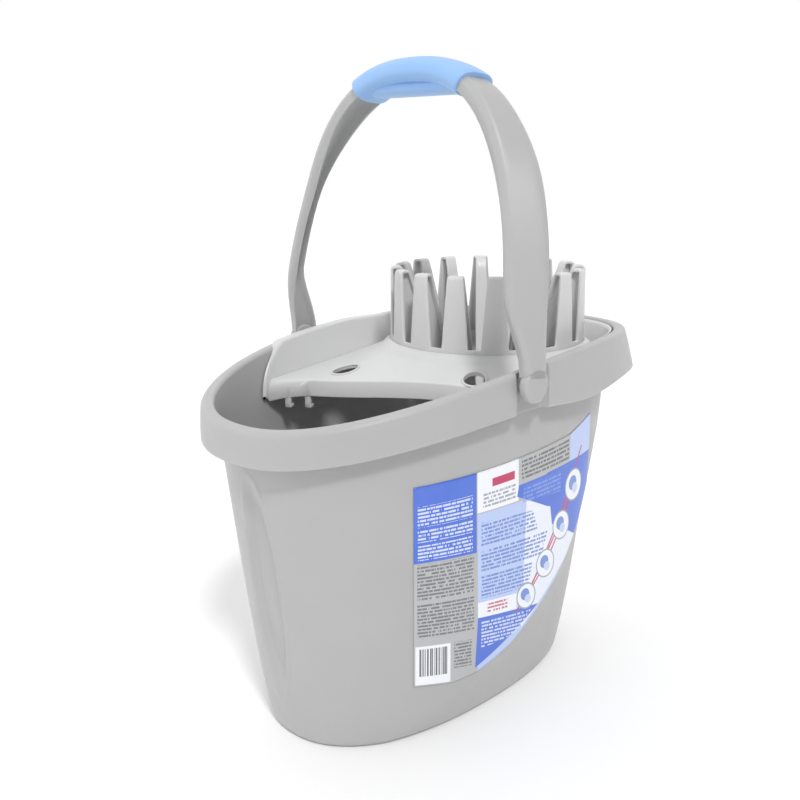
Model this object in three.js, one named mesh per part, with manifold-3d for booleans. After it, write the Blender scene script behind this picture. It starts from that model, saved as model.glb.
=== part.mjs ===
// Oval mop bucket of about 12 litres, with a lift-out wringer insert and a carry handle.
// Millimetres, +Z up, +X to the wringer end, -X to the pouring end, the printed label on the -Y side.
// Parts are drawn about the middle of the walls. The last group moves them along X, so that the
// origin is on the ground under the middle of the whole bucket.
import * as THREE from 'three';
import { mergeVertices } from 'three/addons/utils/BufferGeometryUtils.js';
import Module from 'manifold-3d';

const wasm = await Module();
wasm.setup();

// Bucket walls
const RIM_HEIGHT = 270;          // top of the rim at the middle of the bucket
const RIM_SLOPE = 0.09;          // the rim climbs towards the wringer end
const RIM_BOW = 0.000463;        // and levels off as it gets there
const RIM_BEND_START = 200;      // below this height nothing follows the rim's climb
const WALL = 2.2;
const FLOOR_THICKNESS = 2.6;
const BASE_LENGTH = 140;         // half lengths and half widths of the outer wall
const BASE_WIDTH = 78;
const BASE_SHIFT = 5.5;
const TOP_LENGTH = 169.7;
const TOP_WIDTH = 106.7;
const TOP_SHIFT = 1.3;
const OVAL_POWER = 2.26;
const WALL_CURVE = 0.75;         // the wall leans more near the base than near the rim
const WALL_LEVELS = [16, 34, 56, 80, 106, 132, 158, 184, 204, 222, 236];
const FOOT_INSET = 2.5;
const FOOT_HEIGHT = 3;
const FOOT_RING = 14;
const FOOT_BEVEL = 2;
const FOOT_RECESS = 1.6;
const FLOOR_REACH = 0.965;       // the floor's share of the base

// Collar: the rim folds outwards and hangs down as a skirt
const RIM_LIP = 9.6;
const RIM_ROUND = 2.4;
const SKIRT_DROP = 23;
const SKIRT_DROP_MORE = 8;
const SKIRT_DROP_END = 15;
const SKIRT_STEP = [0.45, 0.8];  // the skirt gets deeper between these shares of the way
const SKIRT_FLARE = 0.8;
const SKIRT_FLARE_END = 8;
const END_LIP = 12.5;            // the collar reaches further out at the wringer end
const END_LIP_ACROSS = 0.4;      // and less so across the bucket
const END_OPENING = 14;          // the wall opens outwards below it
const END_OPENING_ACROSS = 0.2;
const COLLAR_ROOT = 40;
const COLLAR_JOIN = RIM_HEIGHT - 12;
const COLLAR_UNDERSIDE = 4.2;

// Hand recess in the pouring end, and the scooped corner at the lower wringer end
const RECESS_DEPTH = 6;
const RECESS_HALF_WIDTH = 17;
const RECESS_LOW = 30;
const RECESS_HIGH = 208;
const RECESS_EDGE = 2.2;         // how steeply the recess drops from its edge
const SCOOP_DEPTH = 2.5;
const SCOOP_EDGE = 30;
const SCOOP_ROOT = [2, 30];
const SCOOP_FADE = [150, 215];
const CREASE_SLOPE = 0.45;       // the crease climbs evenly from the foot
const CREASE_START = -107;
const CREASE_CORNER = 113;       // and turns upwards at the wringer end
const CREASE_CORNER_RISE = 87;
const CREASE_BEND = 28;

// Printed label
const LABEL_GAP = 0.35;
const LABEL_THICKNESS = 0.4;
const LABEL_LEFT = -85;
const LABEL_LEFT_LEAN = 10;
const LABEL_CORNER = -14;        // from here the lower edge follows the crease
const LABEL_RIGHT = 106;
const LABEL_LOW = 50;
const LABEL_TOP = 200;
const LABEL_TOP_RIGHT = 212;
const LABEL_CREASE_GAP = 4;
const LABEL_LEVELS = [34, 56, 80, 106, 132, 158, 184, 204, 222];

// Handle and its pivots
const PIVOT_X = -14.9;
const PIVOT_Z = 260;
const STUD_RADIUS = 5;           // studs in the collar's pockets, blind sockets in the handle
const STUD_TIP = 116.5;
const STUD_PLAY = 0.35;
const SOCKET_END = 117.2;
const POCKET_HALF = 16.5;
const POCKET_FLOOR = 110.2;      // half distance between the two pocket floors
const POCKET_CHEEK = 4.5;
const POCKET_BACK = 105.4;
const POCKET_LOW = 243;
const POCKET_ROOF = 4;
const BOSS_RADIUS = 13;
const BOSS_INNER = 110.8;
const BOSS_OUTER = 122.6;
const BOSS_NECK = 116.4;         // the leg above the boss stays outside the collar
const NECK_HEIGHT = 16;
const ARCH_HALF_WIDTH = 122.6;
const ARCH_HEIGHT = 203;
const ARCH_POWER = 2.6;
const ARCH_START = 5;
const HANDLE_LEAN = THREE.MathUtils.degToRad(2.5);
const LEG_WIDTH = 26;
const LEG_DEPTH = 8;
const TOP_BAND_WIDTH = 29;
const TOP_BAND_DEPTH = 11;
const LEG_TWIST = THREE.MathUtils.degToRad(24);
const TOP_TWIST = THREE.MathUtils.degToRad(-8);
const TWIST_ROOT = [10, 45];     // heights above the pivots
const TWIST_CHANGE = [0.55, 1];  // shares of the arch's height
const BAND_GROWTH = [0.45, 0.95];
const ARCH_STEPS = 36;
// Half of the band's section, in shares of its width and depth: a channel open on the inner side
const BAND_SECTION = [[0.36, 0.5], [0.47, 0.3], [0.5, 0.05], [0.5, -0.5], [0.41, -0.5], [0.33, 0.1]];
const GRIP_HALF_LENGTH = 52;
const GRIP_WIDTH = 35;
const GRIP_DEPTH = 19;
const GRIP_POWER = 2.6;
const GRIP_SIDES = 20;
const GRIP_GAP = 0.4;
const GRIP_STEPS = 12;

// Wringer insert
const CROWN_X = 77.9;
const CROWN_RADIUS = 77.5;
const CROWN_TOP = 322;
const CROWN_FOOT = 256;
const FINGERS = 16;
const SLOT_FLOOR = 266;
const SLOT_WIDTH_LOW = 9.5;
const SLOT_WIDTH_HIGH = 18;
const SLOT_CORNER = 1.5;
const SLOT_START = 30;           // the slots begin this far from the crown's axis
const CONE_SLOT_START = 26;
const CONE_SLOT_WIDTH = 4;
const CONE_SLOT_OVERLAP = 2;
const SHEET = 2.2;               // sheet thickness of the wringer mouldings
const CONE_TOP_RADIUS = 68;
const CONE_THROAT_RADIUS = 32;
const CONE_THROAT = 206;
const CONE_SLOT_FLOOR = 222;
const DRAIN_RADIUS = 4;
const DRAIN_RING = 20;
const DRAIN_COUNT = 6;           // round one in the middle
const CROWN_EDGE = 2.4;
const CONE_LIP = 3.4;
const SEAT_GAP = 0.35;
const TRAY_CLEARANCE = 0.8;
const TRAY_EDGE_DROP = 15;
const BELL_LOW = 238;            // the tray's top face falls from the crown towards this height
const BELL_RISE = 26;
const BELL_RUN = 33.5;
const BELL_REACH = 230;
const BELL_STEPS = 8;
const FRONT_X = -31;             // front edge of the tray on the centre line
const FRONT_BULGE = 5;
const FRONT_HALF_WIDTH = 90;
const FRONT_SKEW = 0.36;         // the front edge runs across at a slant
const SIDE_LOW = 220;
const WING_FRONT = -77;          // the far side wall sweeps forward to here
const WING_BACK = -25;
const WING_FOOT = 8;
const WING_FOOT_DROP = 12;
const WING_LOW = 232;
const WING_RISE = 44;
const WING_STEPS = 8;
const NEAR_WING_SHIFT = 66;
const HOOK_WIDTH = 5;            // two small hooks hang under the front edge
const HOOK_DEPTH = 3.5;
const HOOK_PLACES = [80, 60];
const HOOK_LOW = 219;
const HOOK_HIGH = 232;
const LIP_REACH = 5.2;
const LIP_GAP = 0.5;
const ROUND_HOLE_RADIUS = 10;
const ROUND_HOLES = [[-28, 53], [-3, -58]];

const SEGMENTS = 60;
const ROUND_SIDES = 32;
const FAR = 300;                 // further out than any piece

function oval(turn, length, width) {
  const c = Math.cos(turn);
  const s = Math.sin(turn);
  const exponent = 2 / OVAL_POWER;
  return {
    x: Math.sign(c) * Math.abs(c) ** exponent * length,
    y: Math.sign(s) * Math.abs(s) ** exponent * width,
  };
}

function wallSize(z) {
  const f = THREE.MathUtils.clamp(z / RIM_HEIGHT, 0, 1);
  const g = f ** WALL_CURVE;
  return {
    length: BASE_LENGTH + (TOP_LENGTH - BASE_LENGTH) * g,
    width: BASE_WIDTH + (TOP_WIDTH - BASE_WIDTH) * g,
    shift: BASE_SHIFT + (TOP_SHIFT - BASE_SHIFT) * f,
  };
}

function rimRise(x) {
  return RIM_SLOPE * x - RIM_BOW * x * x;
}

// 0 at the pouring end and the middle of the sides, 1 at the wringer end
function towardsEnd(turn) {
  return Math.max(0, Math.cos(turn)) ** 1.5;
}

function skirtDrop(turn) {
  const side = (1 + Math.cos(turn)) / 2;
  return SKIRT_DROP + SKIRT_DROP_MORE * side
    + SKIRT_DROP_END * THREE.MathUtils.smoothstep(side, ...SKIRT_STEP);
}

function creaseHeight(x) {
  const corner = CREASE_CORNER_RISE * Math.exp((x - CREASE_CORNER) / CREASE_BEND);
  return CREASE_SLOPE * (x - CREASE_START) + corner;
}

// How far the wall is pressed in: the hand recess, and the scoop below the crease
function pressedIn(x, y, z) {
  const across = y / RECESS_HALF_WIDTH;
  const along = (2 * z - RECESS_LOW - RECESS_HIGH) / (RECESS_HIGH - RECESS_LOW);
  const inRecess = Math.max(0, 1 - across * across - along * along);
  const recess = x < 0 ? RECESS_DEPTH * Math.min(1, RECESS_EDGE * inRecess) : 0;
  const below = THREE.MathUtils.smoothstep(creaseHeight(x) - z, 0, SCOOP_EDGE);
  const root = THREE.MathUtils.smoothstep(z, ...SCOOP_ROOT);
  const fade = 1 - THREE.MathUtils.smoothstep(z, ...SCOOP_FADE);
  return recess + SCOOP_DEPTH * below * root * fade;
}

// A row of the bucket's section: a place on the wall, moved out by some distance
function wallRow(z, out) {
  return (turn) => {
    const size = wallSize(z);
    const p = oval(turn, size.length + out, size.width + out);
    const opening = END_OPENING * towardsEnd(turn)
      * THREE.MathUtils.smoothstep(z, RIM_HEIGHT - COLLAR_ROOT, RIM_HEIGHT);
    const inward = pressedIn(p.x, p.y, z);
    const stretchX = (size.length + opening - inward) / size.length;
    const stretchY = (size.width + opening * END_OPENING_ACROSS - inward) / size.width;
    const x = size.shift + p.x * stretchX;
    const climb = THREE.MathUtils.clamp((z - RIM_BEND_START) / (RIM_HEIGHT - RIM_BEND_START), 0, 1);
    return new THREE.Vector3(x, p.y * stretchY, z + rimRise(x) * climb);
  };
}

// A row of the collar: out from the inner rim edge, and down from the rim's top
function collarRow(out, down) {
  return (turn) => collarPlace(turn, out, down);
}

// A row along the skirt's lower edge
function skirtRow(out) {
  return (turn) => {
    const flare = SKIRT_FLARE + (SKIRT_FLARE_END - SKIRT_FLARE) * towardsEnd(turn);
    return collarPlace(turn, out + flare, skirtDrop(turn));
  };
}

function collarPlace(turn, out, down) {
  const lip = END_LIP * towardsEnd(turn);
  const length = TOP_LENGTH - WALL + out + lip;
  const width = TOP_WIDTH - WALL + out + lip * END_LIP_ACROSS;
  const p = oval(turn, length, width);
  const x = TOP_SHIFT + p.x;
  return new THREE.Vector3(x, p.y, RIM_HEIGHT + rimRise(x) - down);
}

function floorRow(fraction, z) {
  return (turn) => {
    const size = wallSize(0);
    const p = oval(turn, (size.length - FOOT_INSET) * fraction, (size.width - FOOT_INSET) * fraction);
    return new THREE.Vector3(BASE_SHIFT + p.x, p.y, z);
  };
}

// A lathe whose rings are bent to the oval. Each row gives its own place for each turn.
function bentLathe(rows, segments = SEGMENTS) {
  const profile = rows.map((row, i) => new THREE.Vector2(1, i));
  const geometry = new THREE.LatheGeometry(profile, segments);
  const places = geometry.getAttribute('position');
  for (let i = 0; i < places.count; i++) {
    const turn = 2 * Math.PI * (Math.floor(i / rows.length) % segments) / segments;
    const place = rows[i % rows.length](turn);
    places.setXYZ(i, place.x, place.y, place.z);
  }
  return solidOf(geometry);
}

// Merges a closed geometry's vertices, points its faces outwards and makes it a solid
function solidOf(geometry) {
  const bare = geometry.clone();
  bare.deleteAttribute('normal');
  bare.deleteAttribute('uv');
  const merged = mergeVertices(bare, 1e-4);
  const v = merged.getAttribute('position').array;
  const corners = [];
  let volume = 0;
  for (let i = 0; i < merged.index.count; i += 3) {
    const [a, b, c] = [0, 1, 2].map((k) => merged.index.getX(i + k));
    if (a !== b && b !== c && c !== a) {
      corners.push(a, b, c);
      const [p, q, r] = [a, b, c].map((k) => new THREE.Vector3().fromArray(v, 3 * k));
      volume += p.dot(q.cross(r));
    }
  }
  if (volume < 0) {
    corners.reverse();
  }
  const mesh = new wasm.Mesh({
    numProp: 3,
    vertProperties: new Float32Array(v),
    triVerts: new Uint32Array(corners),
  });
  return new wasm.Manifold(mesh);
}

function meshOf(solid, name, material) {
  const got = solid.getMesh();
  const geometry = new THREE.BufferGeometry();
  geometry.setAttribute('position', new THREE.BufferAttribute(got.vertProperties, 3));
  geometry.setIndex(new THREE.BufferAttribute(got.triVerts, 1));
  geometry.computeVertexNormals();
  const mesh = new THREE.Mesh(geometry, material);
  mesh.name = name;
  return mesh;
}

// A box between two places along each axis, given in either order
function box(x0, x1, y0, y1, z0, z1) {
  const geometry = new THREE.BoxGeometry(Math.abs(x1 - x0), Math.abs(y1 - y0), Math.abs(z1 - z0));
  geometry.translate((x0 + x1) / 2, (y0 + y1) / 2, (z0 + z1) / 2);
  return solidOf(geometry);
}

// A round bar along Y between two places
function barAlongY(radius, x, z, y0, y1) {
  const geometry = new THREE.CylinderGeometry(radius, radius, Math.abs(y1 - y0), ROUND_SIDES);
  geometry.translate(x, (y0 + y1) / 2, z);
  return solidOf(geometry);
}

function barAlongZ(radius, x, y, z0, z1) {
  const geometry = new THREE.CylinderGeometry(radius, radius, z1 - z0, ROUND_SIDES);
  geometry.rotateX(Math.PI / 2);
  geometry.translate(x, y, (z0 + z1) / 2);
  return solidOf(geometry);
}

// A shape in the XZ plane, pushed along Y
function slabAlongY(shape, y0, y1) {
  const geometry = new THREE.ExtrudeGeometry(shape, { depth: y1 - y0, bevelEnabled: false });
  geometry.rotateX(Math.PI / 2);
  geometry.translate(0, y1, 0);
  return solidOf(geometry);
}

// ---- Bucket ----
function bucketBody() {
  const under = COLLAR_UNDERSIDE;
  const skirtInner = RIM_LIP - WALL;
  const roundStep = RIM_ROUND * 0.4;
  const rows = [
    floorRow(0, FOOT_RECESS),
    floorRow(1 - FOOT_RING / BASE_LENGTH, FOOT_RECESS),
    floorRow(1 - (FOOT_RING - FOOT_BEVEL) / BASE_LENGTH, 0),
    floorRow(1, 0),
    wallRow(FOOT_HEIGHT, 0),
    ...WALL_LEVELS.map((z) => wallRow(z, 0)),
    wallRow(COLLAR_JOIN, 0),
    collarRow(WALL, under),
    collarRow(skirtInner - SKIRT_FLARE, under),
    skirtRow(skirtInner),
    skirtRow(RIM_LIP),
    collarRow(RIM_LIP, RIM_ROUND),
    collarRow(RIM_LIP - roundStep, roundStep),
    collarRow(RIM_LIP - RIM_ROUND, 0),
    collarRow(RIM_ROUND, 0),
    collarRow(0, RIM_ROUND),
    wallRow(COLLAR_JOIN, -WALL),
    ...WALL_LEVELS.map((z) => wallRow(z, -WALL)).reverse(),
    floorRow(FLOOR_REACH, FOOT_RECESS + FLOOR_THICKNESS),
    floorRow(0, FOOT_RECESS + FLOOR_THICKNESS),
  ];
  let body = bentLathe(rows);
  for (const side of [-1, 1]) {
    const cheeks = POCKET_HALF + POCKET_CHEEK;
    const skin = TOP_WIDTH - WALL + RIM_LIP - 1;
    body = body.add(box(PIVOT_X - cheeks, PIVOT_X + cheeks,
      side * POCKET_BACK, side * skin, POCKET_LOW, RIM_HEIGHT - POCKET_ROOF));
    body = body.subtract(box(PIVOT_X - POCKET_HALF, PIVOT_X + POCKET_HALF,
      side * POCKET_FLOOR, side * FAR, POCKET_LOW - COLLAR_ROOT, RIM_HEIGHT + COLLAR_ROOT));
    body = body.add(barAlongY(STUD_RADIUS, PIVOT_X, PIVOT_Z, side * (POCKET_FLOOR - 1), side * STUD_TIP));
  }
  return body;
}

// Printed label, a thin skin on the -Y side whose lower right edge follows the crease
function sideLabel() {
  const outer = LABEL_LEVELS.map((z) => wallRow(z, LABEL_GAP + LABEL_THICKNESS));
  const inner = LABEL_LEVELS.map((z) => wallRow(z, LABEL_GAP)).reverse();
  const skin = bentLathe([...outer, ...inner, outer[0]]);
  const outline = new THREE.Shape();
  const steps = 10;
  outline.moveTo(LABEL_LEFT, LABEL_LOW);
  outline.lineTo(LABEL_LEFT - LABEL_LEFT_LEAN, LABEL_TOP);
  outline.lineTo(LABEL_RIGHT, LABEL_TOP_RIGHT);
  for (let i = 0; i <= steps; i++) {
    const x = THREE.MathUtils.lerp(LABEL_RIGHT, LABEL_CORNER, i / steps);
    outline.lineTo(x, creaseHeight(x) + LABEL_CREASE_GAP);
  }
  outline.closePath();
  return skin.intersect(slabAlongY(outline, -FAR, -BASE_WIDTH / 2));
}

// ---- Handle, drawn about its pivots ----
// Place and outward direction of the arch at a fraction of its way round
function archAt(fraction) {
  const start = Math.asin((ARCH_START / ARCH_HEIGHT) ** (ARCH_POWER / 2));
  const turn = start + (Math.PI - 2 * start) * fraction;
  const exponent = 2 / ARCH_POWER;
  const c = Math.cos(turn);
  const s = Math.sin(turn);
  const y = -Math.sign(c) * Math.abs(c) ** exponent * ARCH_HALF_WIDTH;
  const h = s ** exponent * ARCH_HEIGHT;
  const slopeY = -Math.sign(c) * Math.abs(c) ** (2 - exponent) / ARCH_HALF_WIDTH;
  const slopeH = s ** (2 - exponent) / ARCH_HEIGHT;
  const out = new THREE.Vector2(slopeY, slopeH).normalize();
  return { y, h, out };
}

function archTwist(h) {
  const root = THREE.MathUtils.smoothstep(h, ...TWIST_ROOT);
  const top = THREE.MathUtils.smoothstep(h / ARCH_HEIGHT, ...TWIST_CHANGE);
  return root * (LEG_TWIST + (TOP_TWIST - LEG_TWIST) * top);
}

// Bends a straight bar, one unit long, into the arch. Its X is the band's width, its Y the way out.
function bendToArch(geometry, from, to, widthAt, depthAt) {
  const places = geometry.getAttribute('position');
  for (let i = 0; i < places.count; i++) {
    const arch = archAt(from + (to - from) * places.getZ(i));
    const twist = archTwist(arch.h);
    const u = places.getX(i) * widthAt(arch.h);
    const v = places.getY(i) * depthAt(arch.h);
    const across = u * Math.cos(twist) - v * Math.sin(twist);
    const outward = u * Math.sin(twist) + v * Math.cos(twist);
    places.setXYZ(i, across, arch.y + arch.out.x * outward, arch.h + arch.out.y * outward);
  }
  return solidOf(geometry);
}

function bandGrowth(h) {
  return THREE.MathUtils.smoothstep(h / ARCH_HEIGHT, ...BAND_GROWTH);
}

function bandWidth(h) {
  return LEG_WIDTH + (TOP_BAND_WIDTH - LEG_WIDTH) * bandGrowth(h);
}

function bandDepth(h) {
  return LEG_DEPTH + (TOP_BAND_DEPTH - LEG_DEPTH) * bandGrowth(h);
}

function bandShape() {
  const half = BAND_SECTION.map(([u, v]) => new THREE.Vector2(u, v));
  const otherHalf = BAND_SECTION.map(([u, v]) => new THREE.Vector2(-u, v)).reverse();
  return new THREE.Shape([...half, ...otherHalf]);
}

function straightBar(shape, steps) {
  return new THREE.ExtrudeGeometry(shape, { depth: 1, steps, bevelEnabled: false });
}

function carryHandle() {
  let handle = bendToArch(straightBar(bandShape(), ARCH_STEPS), 0, 1, bandWidth, bandDepth);
  for (const side of [-1, 1]) {
    handle = handle.add(barAlongY(BOSS_RADIUS, 0, 0, side * BOSS_INNER, side * BOSS_OUTER));
    handle = handle.add(box(-BOSS_RADIUS, BOSS_RADIUS,
      side * BOSS_NECK, side * BOSS_OUTER, 0, NECK_HEIGHT));
    handle = handle.subtract(barAlongY(STUD_RADIUS + STUD_PLAY, 0, 0,
      side * (BOSS_INNER - 1), side * SOCKET_END));
  }
  return handle;
}

function fractionAt(y) {
  let low = 0;
  let high = 1;
  while (high - low > 1e-6) {
    const middle = (low + high) / 2;
    if (archAt(middle).y < y) {
      low = middle;
    } else {
      high = middle;
    }
  }
  return low;
}

function handleGrip() {
  const points = [];
  for (let i = 0; i < GRIP_SIDES; i++) {
    const turn = 2 * Math.PI * i / GRIP_SIDES;
    const c = Math.cos(turn);
    const s = Math.sin(turn);
    const u = Math.sign(c) * Math.abs(c) ** (2 / GRIP_POWER) * GRIP_WIDTH / 2;
    const v = Math.sign(s) * Math.abs(s) ** (2 / GRIP_POWER) * GRIP_DEPTH / 2;
    points.push(new THREE.Vector2(u, v));
  }
  const outer = new THREE.Shape(points);
  const w = TOP_BAND_WIDTH / 2 + GRIP_GAP;
  const d = TOP_BAND_DEPTH / 2 + GRIP_GAP;
  const half = [[0.8 * w, d], [w, 0.3 * d], [w, -d]];
  const bore = half.map(([u, v]) => new THREE.Vector2(u, v));
  const otherHalf = half.map(([u, v]) => new THREE.Vector2(-u, v)).reverse();
  outer.holes.push(new THREE.Path([...bore, ...otherHalf]));
  const from = fractionAt(-GRIP_HALF_LENGTH);
  return bendToArch(straightBar(outer, GRIP_STEPS), from, 1 - from, () => 1, () => 1);
}

// ---- Wringer ----
// Height of the tray's bell-shaped top face at a distance from the crown's axis
function bellHeight(radius) {
  const out = Math.max(0, radius - CROWN_RADIUS);
  return BELL_LOW + BELL_RISE * Math.exp(-out / BELL_RUN);
}

function bellRing(inner, above, below) {
  const radii = [];
  for (let i = 0; i <= BELL_STEPS; i++) {
    radii.push(inner + (BELL_REACH - inner) * (i / BELL_STEPS) ** 1.6);
  }
  const top = radii.map((r) => new THREE.Vector2(r, bellHeight(r) + above));
  const bottom = radii.map((r) => new THREE.Vector2(r, bellHeight(r) - below)).reverse();
  const geometry = new THREE.LatheGeometry([...top, ...bottom, top[0]], 48);
  geometry.rotateX(Math.PI / 2);
  geometry.translate(CROWN_X, 0, 0);
  return solidOf(geometry);
}

// The room inside the bucket's walls, drawn in by some distance
function insideRoom(inset) {
  const levels = [...WALL_LEVELS.filter((z) => z > SIDE_LOW - COLLAR_ROOT), COLLAR_JOIN];
  const middle = (z) => () => new THREE.Vector3(0, 0, z);
  const rows = levels.map((z) => wallRow(z, -WALL - inset));
  return bentLathe([middle(levels[0]), ...rows, middle(RIM_HEIGHT)]);
}

function frontEdge(y) {
  return FRONT_X - FRONT_SKEW * y - FRONT_BULGE * (1 - (y / FRONT_HALF_WIDTH) ** 2);
}

// Everything behind the slanting front edge, moved back by some distance
function behindFront(offset) {
  const shape = new THREE.Shape();
  const reach = 130;
  const step = 20;
  shape.moveTo(FAR, -reach);
  for (let y = -reach; y <= reach; y += step) {
    shape.lineTo(frontEdge(y) + offset, y);
  }
  shape.lineTo(FAR, reach);
  shape.closePath();
  const depth = FAR - CONE_THROAT;
  const geometry = new THREE.ExtrudeGeometry(shape, { depth, bevelEnabled: false });
  geometry.translate(0, 0, CONE_THROAT - offset);
  return solidOf(geometry);
}

// Side wall that hugs the bucket's wall and folds over the rim
function traySides() {
  const outer = -WALL - TRAY_CLEARANCE;
  const inner = outer - SHEET;
  const level = WALL_LEVELS.at(-1);
  const lipTop = -LIP_GAP - SHEET;
  const rows = [
    wallRow(SIDE_LOW, inner),
    wallRow(SIDE_LOW, outer),
    wallRow(level, outer),
    wallRow(COLLAR_JOIN, outer),
    collarRow(-TRAY_CLEARANCE, -LIP_GAP),
    collarRow(LIP_REACH, -LIP_GAP),
    collarRow(LIP_REACH, lipTop),
    collarRow(-TRAY_CLEARANCE - SHEET, lipTop),
    wallRow(COLLAR_JOIN, inner),
    wallRow(level, inner),
    wallRow(SIDE_LOW, inner),
  ];
  return bentLathe(rows);
}

// What a side wall loses in front of its swept edge
function wingCut(shift) {
  const shape = new THREE.Shape();
  const reach = WING_BACK - WING_FRONT;
  const foot = WING_FRONT + shift + WING_FOOT;
  shape.moveTo(-FAR, CONE_THROAT);
  shape.lineTo(foot, CONE_THROAT);
  shape.lineTo(foot, WING_LOW - WING_FOOT_DROP);
  shape.lineTo(WING_FRONT + shift, WING_LOW);
  for (let i = 1; i <= WING_STEPS; i++) {
    const turn = (i / WING_STEPS) * Math.PI / 2;
    const x = WING_BACK + shift - reach * Math.cos(turn);
    shape.lineTo(x, WING_LOW + WING_RISE * Math.sin(turn));
  }
  shape.lineTo(WING_BACK + shift, FAR);
  shape.lineTo(-FAR, FAR);
  shape.closePath();
  return shape;
}

function wringerTray() {
  const behind = behindFront(0);
  const plate = bellRing(CROWN_RADIUS + SEAT_GAP, 0, SHEET).intersect(behind);
  const frontBand = bellRing(CROWN_RADIUS + SHEET, 1, TRAY_EDGE_DROP)
    .intersect(behind)
    .subtract(behindFront(SHEET));
  let tray = plate.add(frontBand).intersect(insideRoom(TRAY_CLEARANCE));
  let sides = traySides();
  sides = sides.subtract(slabAlongY(wingCut(0), 0, FAR));
  sides = sides.subtract(slabAlongY(wingCut(NEAR_WING_SHIFT), -FAR, 0));
  sides = sides.intersect(bellRing(CROWN_RADIUS + 1, COLLAR_ROOT * 2, TRAY_EDGE_DROP));
  tray = tray.add(sides);
  for (const y of HOOK_PLACES) {
    const x = frontEdge(y) + 1;
    tray = tray.add(box(x, x + HOOK_DEPTH,
      y - HOOK_WIDTH / 2, y + HOOK_WIDTH / 2, HOOK_LOW, HOOK_HIGH));
  }
  for (const [x, y] of ROUND_HOLES) {
    tray = tray.subtract(barAlongZ(ROUND_HOLE_RADIUS, x, y, CONE_THROAT, FAR));
  }
  return tray;
}

// Slot between two fingers, in the plane across a radius
function slotShape() {
  const half = SLOT_WIDTH_LOW / 2;
  const high = CROWN_TOP + SLOT_CORNER * 4;
  const spread = (SLOT_WIDTH_HIGH - SLOT_WIDTH_LOW) / 2 / (CROWN_TOP - SLOT_FLOOR);
  const wide = half + spread * (high - SLOT_FLOOR);
  return new THREE.Shape([
    new THREE.Vector2(-half + SLOT_CORNER, SLOT_FLOOR),
    new THREE.Vector2(half - SLOT_CORNER, SLOT_FLOOR),
    new THREE.Vector2(half, SLOT_FLOOR + SLOT_CORNER),
    new THREE.Vector2(wide, high),
    new THREE.Vector2(-wide, high),
    new THREE.Vector2(-half, SLOT_FLOOR + SLOT_CORNER),
  ]);
}

// The slot goes on down the cone, and narrows
function coneSlotShape() {
  const half = SLOT_WIDTH_LOW / 2;
  const high = SLOT_FLOOR + CONE_SLOT_OVERLAP;
  return new THREE.Shape([
    new THREE.Vector2(-CONE_SLOT_WIDTH / 2, CONE_SLOT_FLOOR),
    new THREE.Vector2(CONE_SLOT_WIDTH / 2, CONE_SLOT_FLOOR),
    new THREE.Vector2(half, high),
    new THREE.Vector2(-half, high),
  ]);
}

// A cutter that reaches out along a radius of the crown
function radialCutter(shape, angle, from, to) {
  const geometry = new THREE.ExtrudeGeometry(shape, { depth: to - from, bevelEnabled: false });
  geometry.rotateX(Math.PI / 2);
  geometry.rotateZ(angle + Math.PI / 2);
  geometry.translate(CROWN_X + from * Math.cos(angle), from * Math.sin(angle), 0);
  return solidOf(geometry);
}

function wringerBasket() {
  const r = CROWN_RADIUS;
  const profile = [
    [0, CONE_THROAT - SHEET],
    [CONE_THROAT_RADIUS + SHEET, CONE_THROAT - SHEET],
    [CONE_TOP_RADIUS + SHEET * 0.6, CROWN_TOP - CROWN_EDGE * 2.5],
    [r - SHEET, CROWN_TOP - SHEET],
    [r - SHEET, CROWN_FOOT],
    [r, CROWN_FOOT],
    [r, CROWN_TOP - CROWN_EDGE],
    [r - CROWN_EDGE, CROWN_TOP],
    [CONE_TOP_RADIUS + CROWN_EDGE * 0.7, CROWN_TOP],
    [CONE_TOP_RADIUS - 1, CROWN_TOP - CONE_LIP],
    [CONE_THROAT_RADIUS, CONE_THROAT],
    [0, CONE_THROAT],
  ].map(([x, z]) => new THREE.Vector2(x, z));
  const geometry = new THREE.LatheGeometry(profile, FINGERS * 4);
  geometry.rotateX(Math.PI / 2);
  geometry.translate(CROWN_X, 0, 0);
  let basket = solidOf(geometry);
  for (let i = 0; i < FINGERS; i++) {
    const angle = 2 * Math.PI * (i + 0.5) / FINGERS;
    const coneEnd = CROWN_RADIUS - CROWN_EDGE * 4;
    basket = basket.subtract(radialCutter(slotShape(), angle, SLOT_START, CROWN_RADIUS + CROWN_EDGE));
    basket = basket.subtract(radialCutter(coneSlotShape(), angle, CONE_SLOT_START, coneEnd));
  }
  const drainLow = CONE_THROAT - SHEET * 2;
  const drainHigh = CONE_THROAT + SHEET;
  basket = basket.subtract(barAlongZ(DRAIN_RADIUS, CROWN_X, 0, drainLow, drainHigh));
  for (let i = 0; i < DRAIN_COUNT; i++) {
    const angle = 2 * Math.PI * i / DRAIN_COUNT;
    const x = CROWN_X + DRAIN_RING * Math.cos(angle);
    basket = basket.subtract(barAlongZ(DRAIN_RADIUS, x, DRAIN_RING * Math.sin(angle), drainLow, drainHigh));
  }
  return basket;
}

// ---- Materials and assembly ----
function plastic(color, roughness) {
  return new THREE.MeshStandardMaterial({ color, roughness, metalness: 0 });
}

const handle = new THREE.Group();
handle.position.set(PIVOT_X, 0, PIVOT_Z);
handle.rotation.y = HANDLE_LEAN;
handle.add(meshOf(carryHandle(), 'carry_handle', plastic(0xb4b4b4, 0.4)));
handle.add(meshOf(handleGrip(), 'handle_grip', plastic(0x9cc8fb, 0.6)));

const wringer = new THREE.Group();
wringer.add(meshOf(wringerTray(), 'wringer_tray', plastic(0xcfcfcf, 0.38)));
wringer.add(meshOf(wringerBasket(), 'wringer_basket', plastic(0xd6d6d6, 0.38)));

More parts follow.
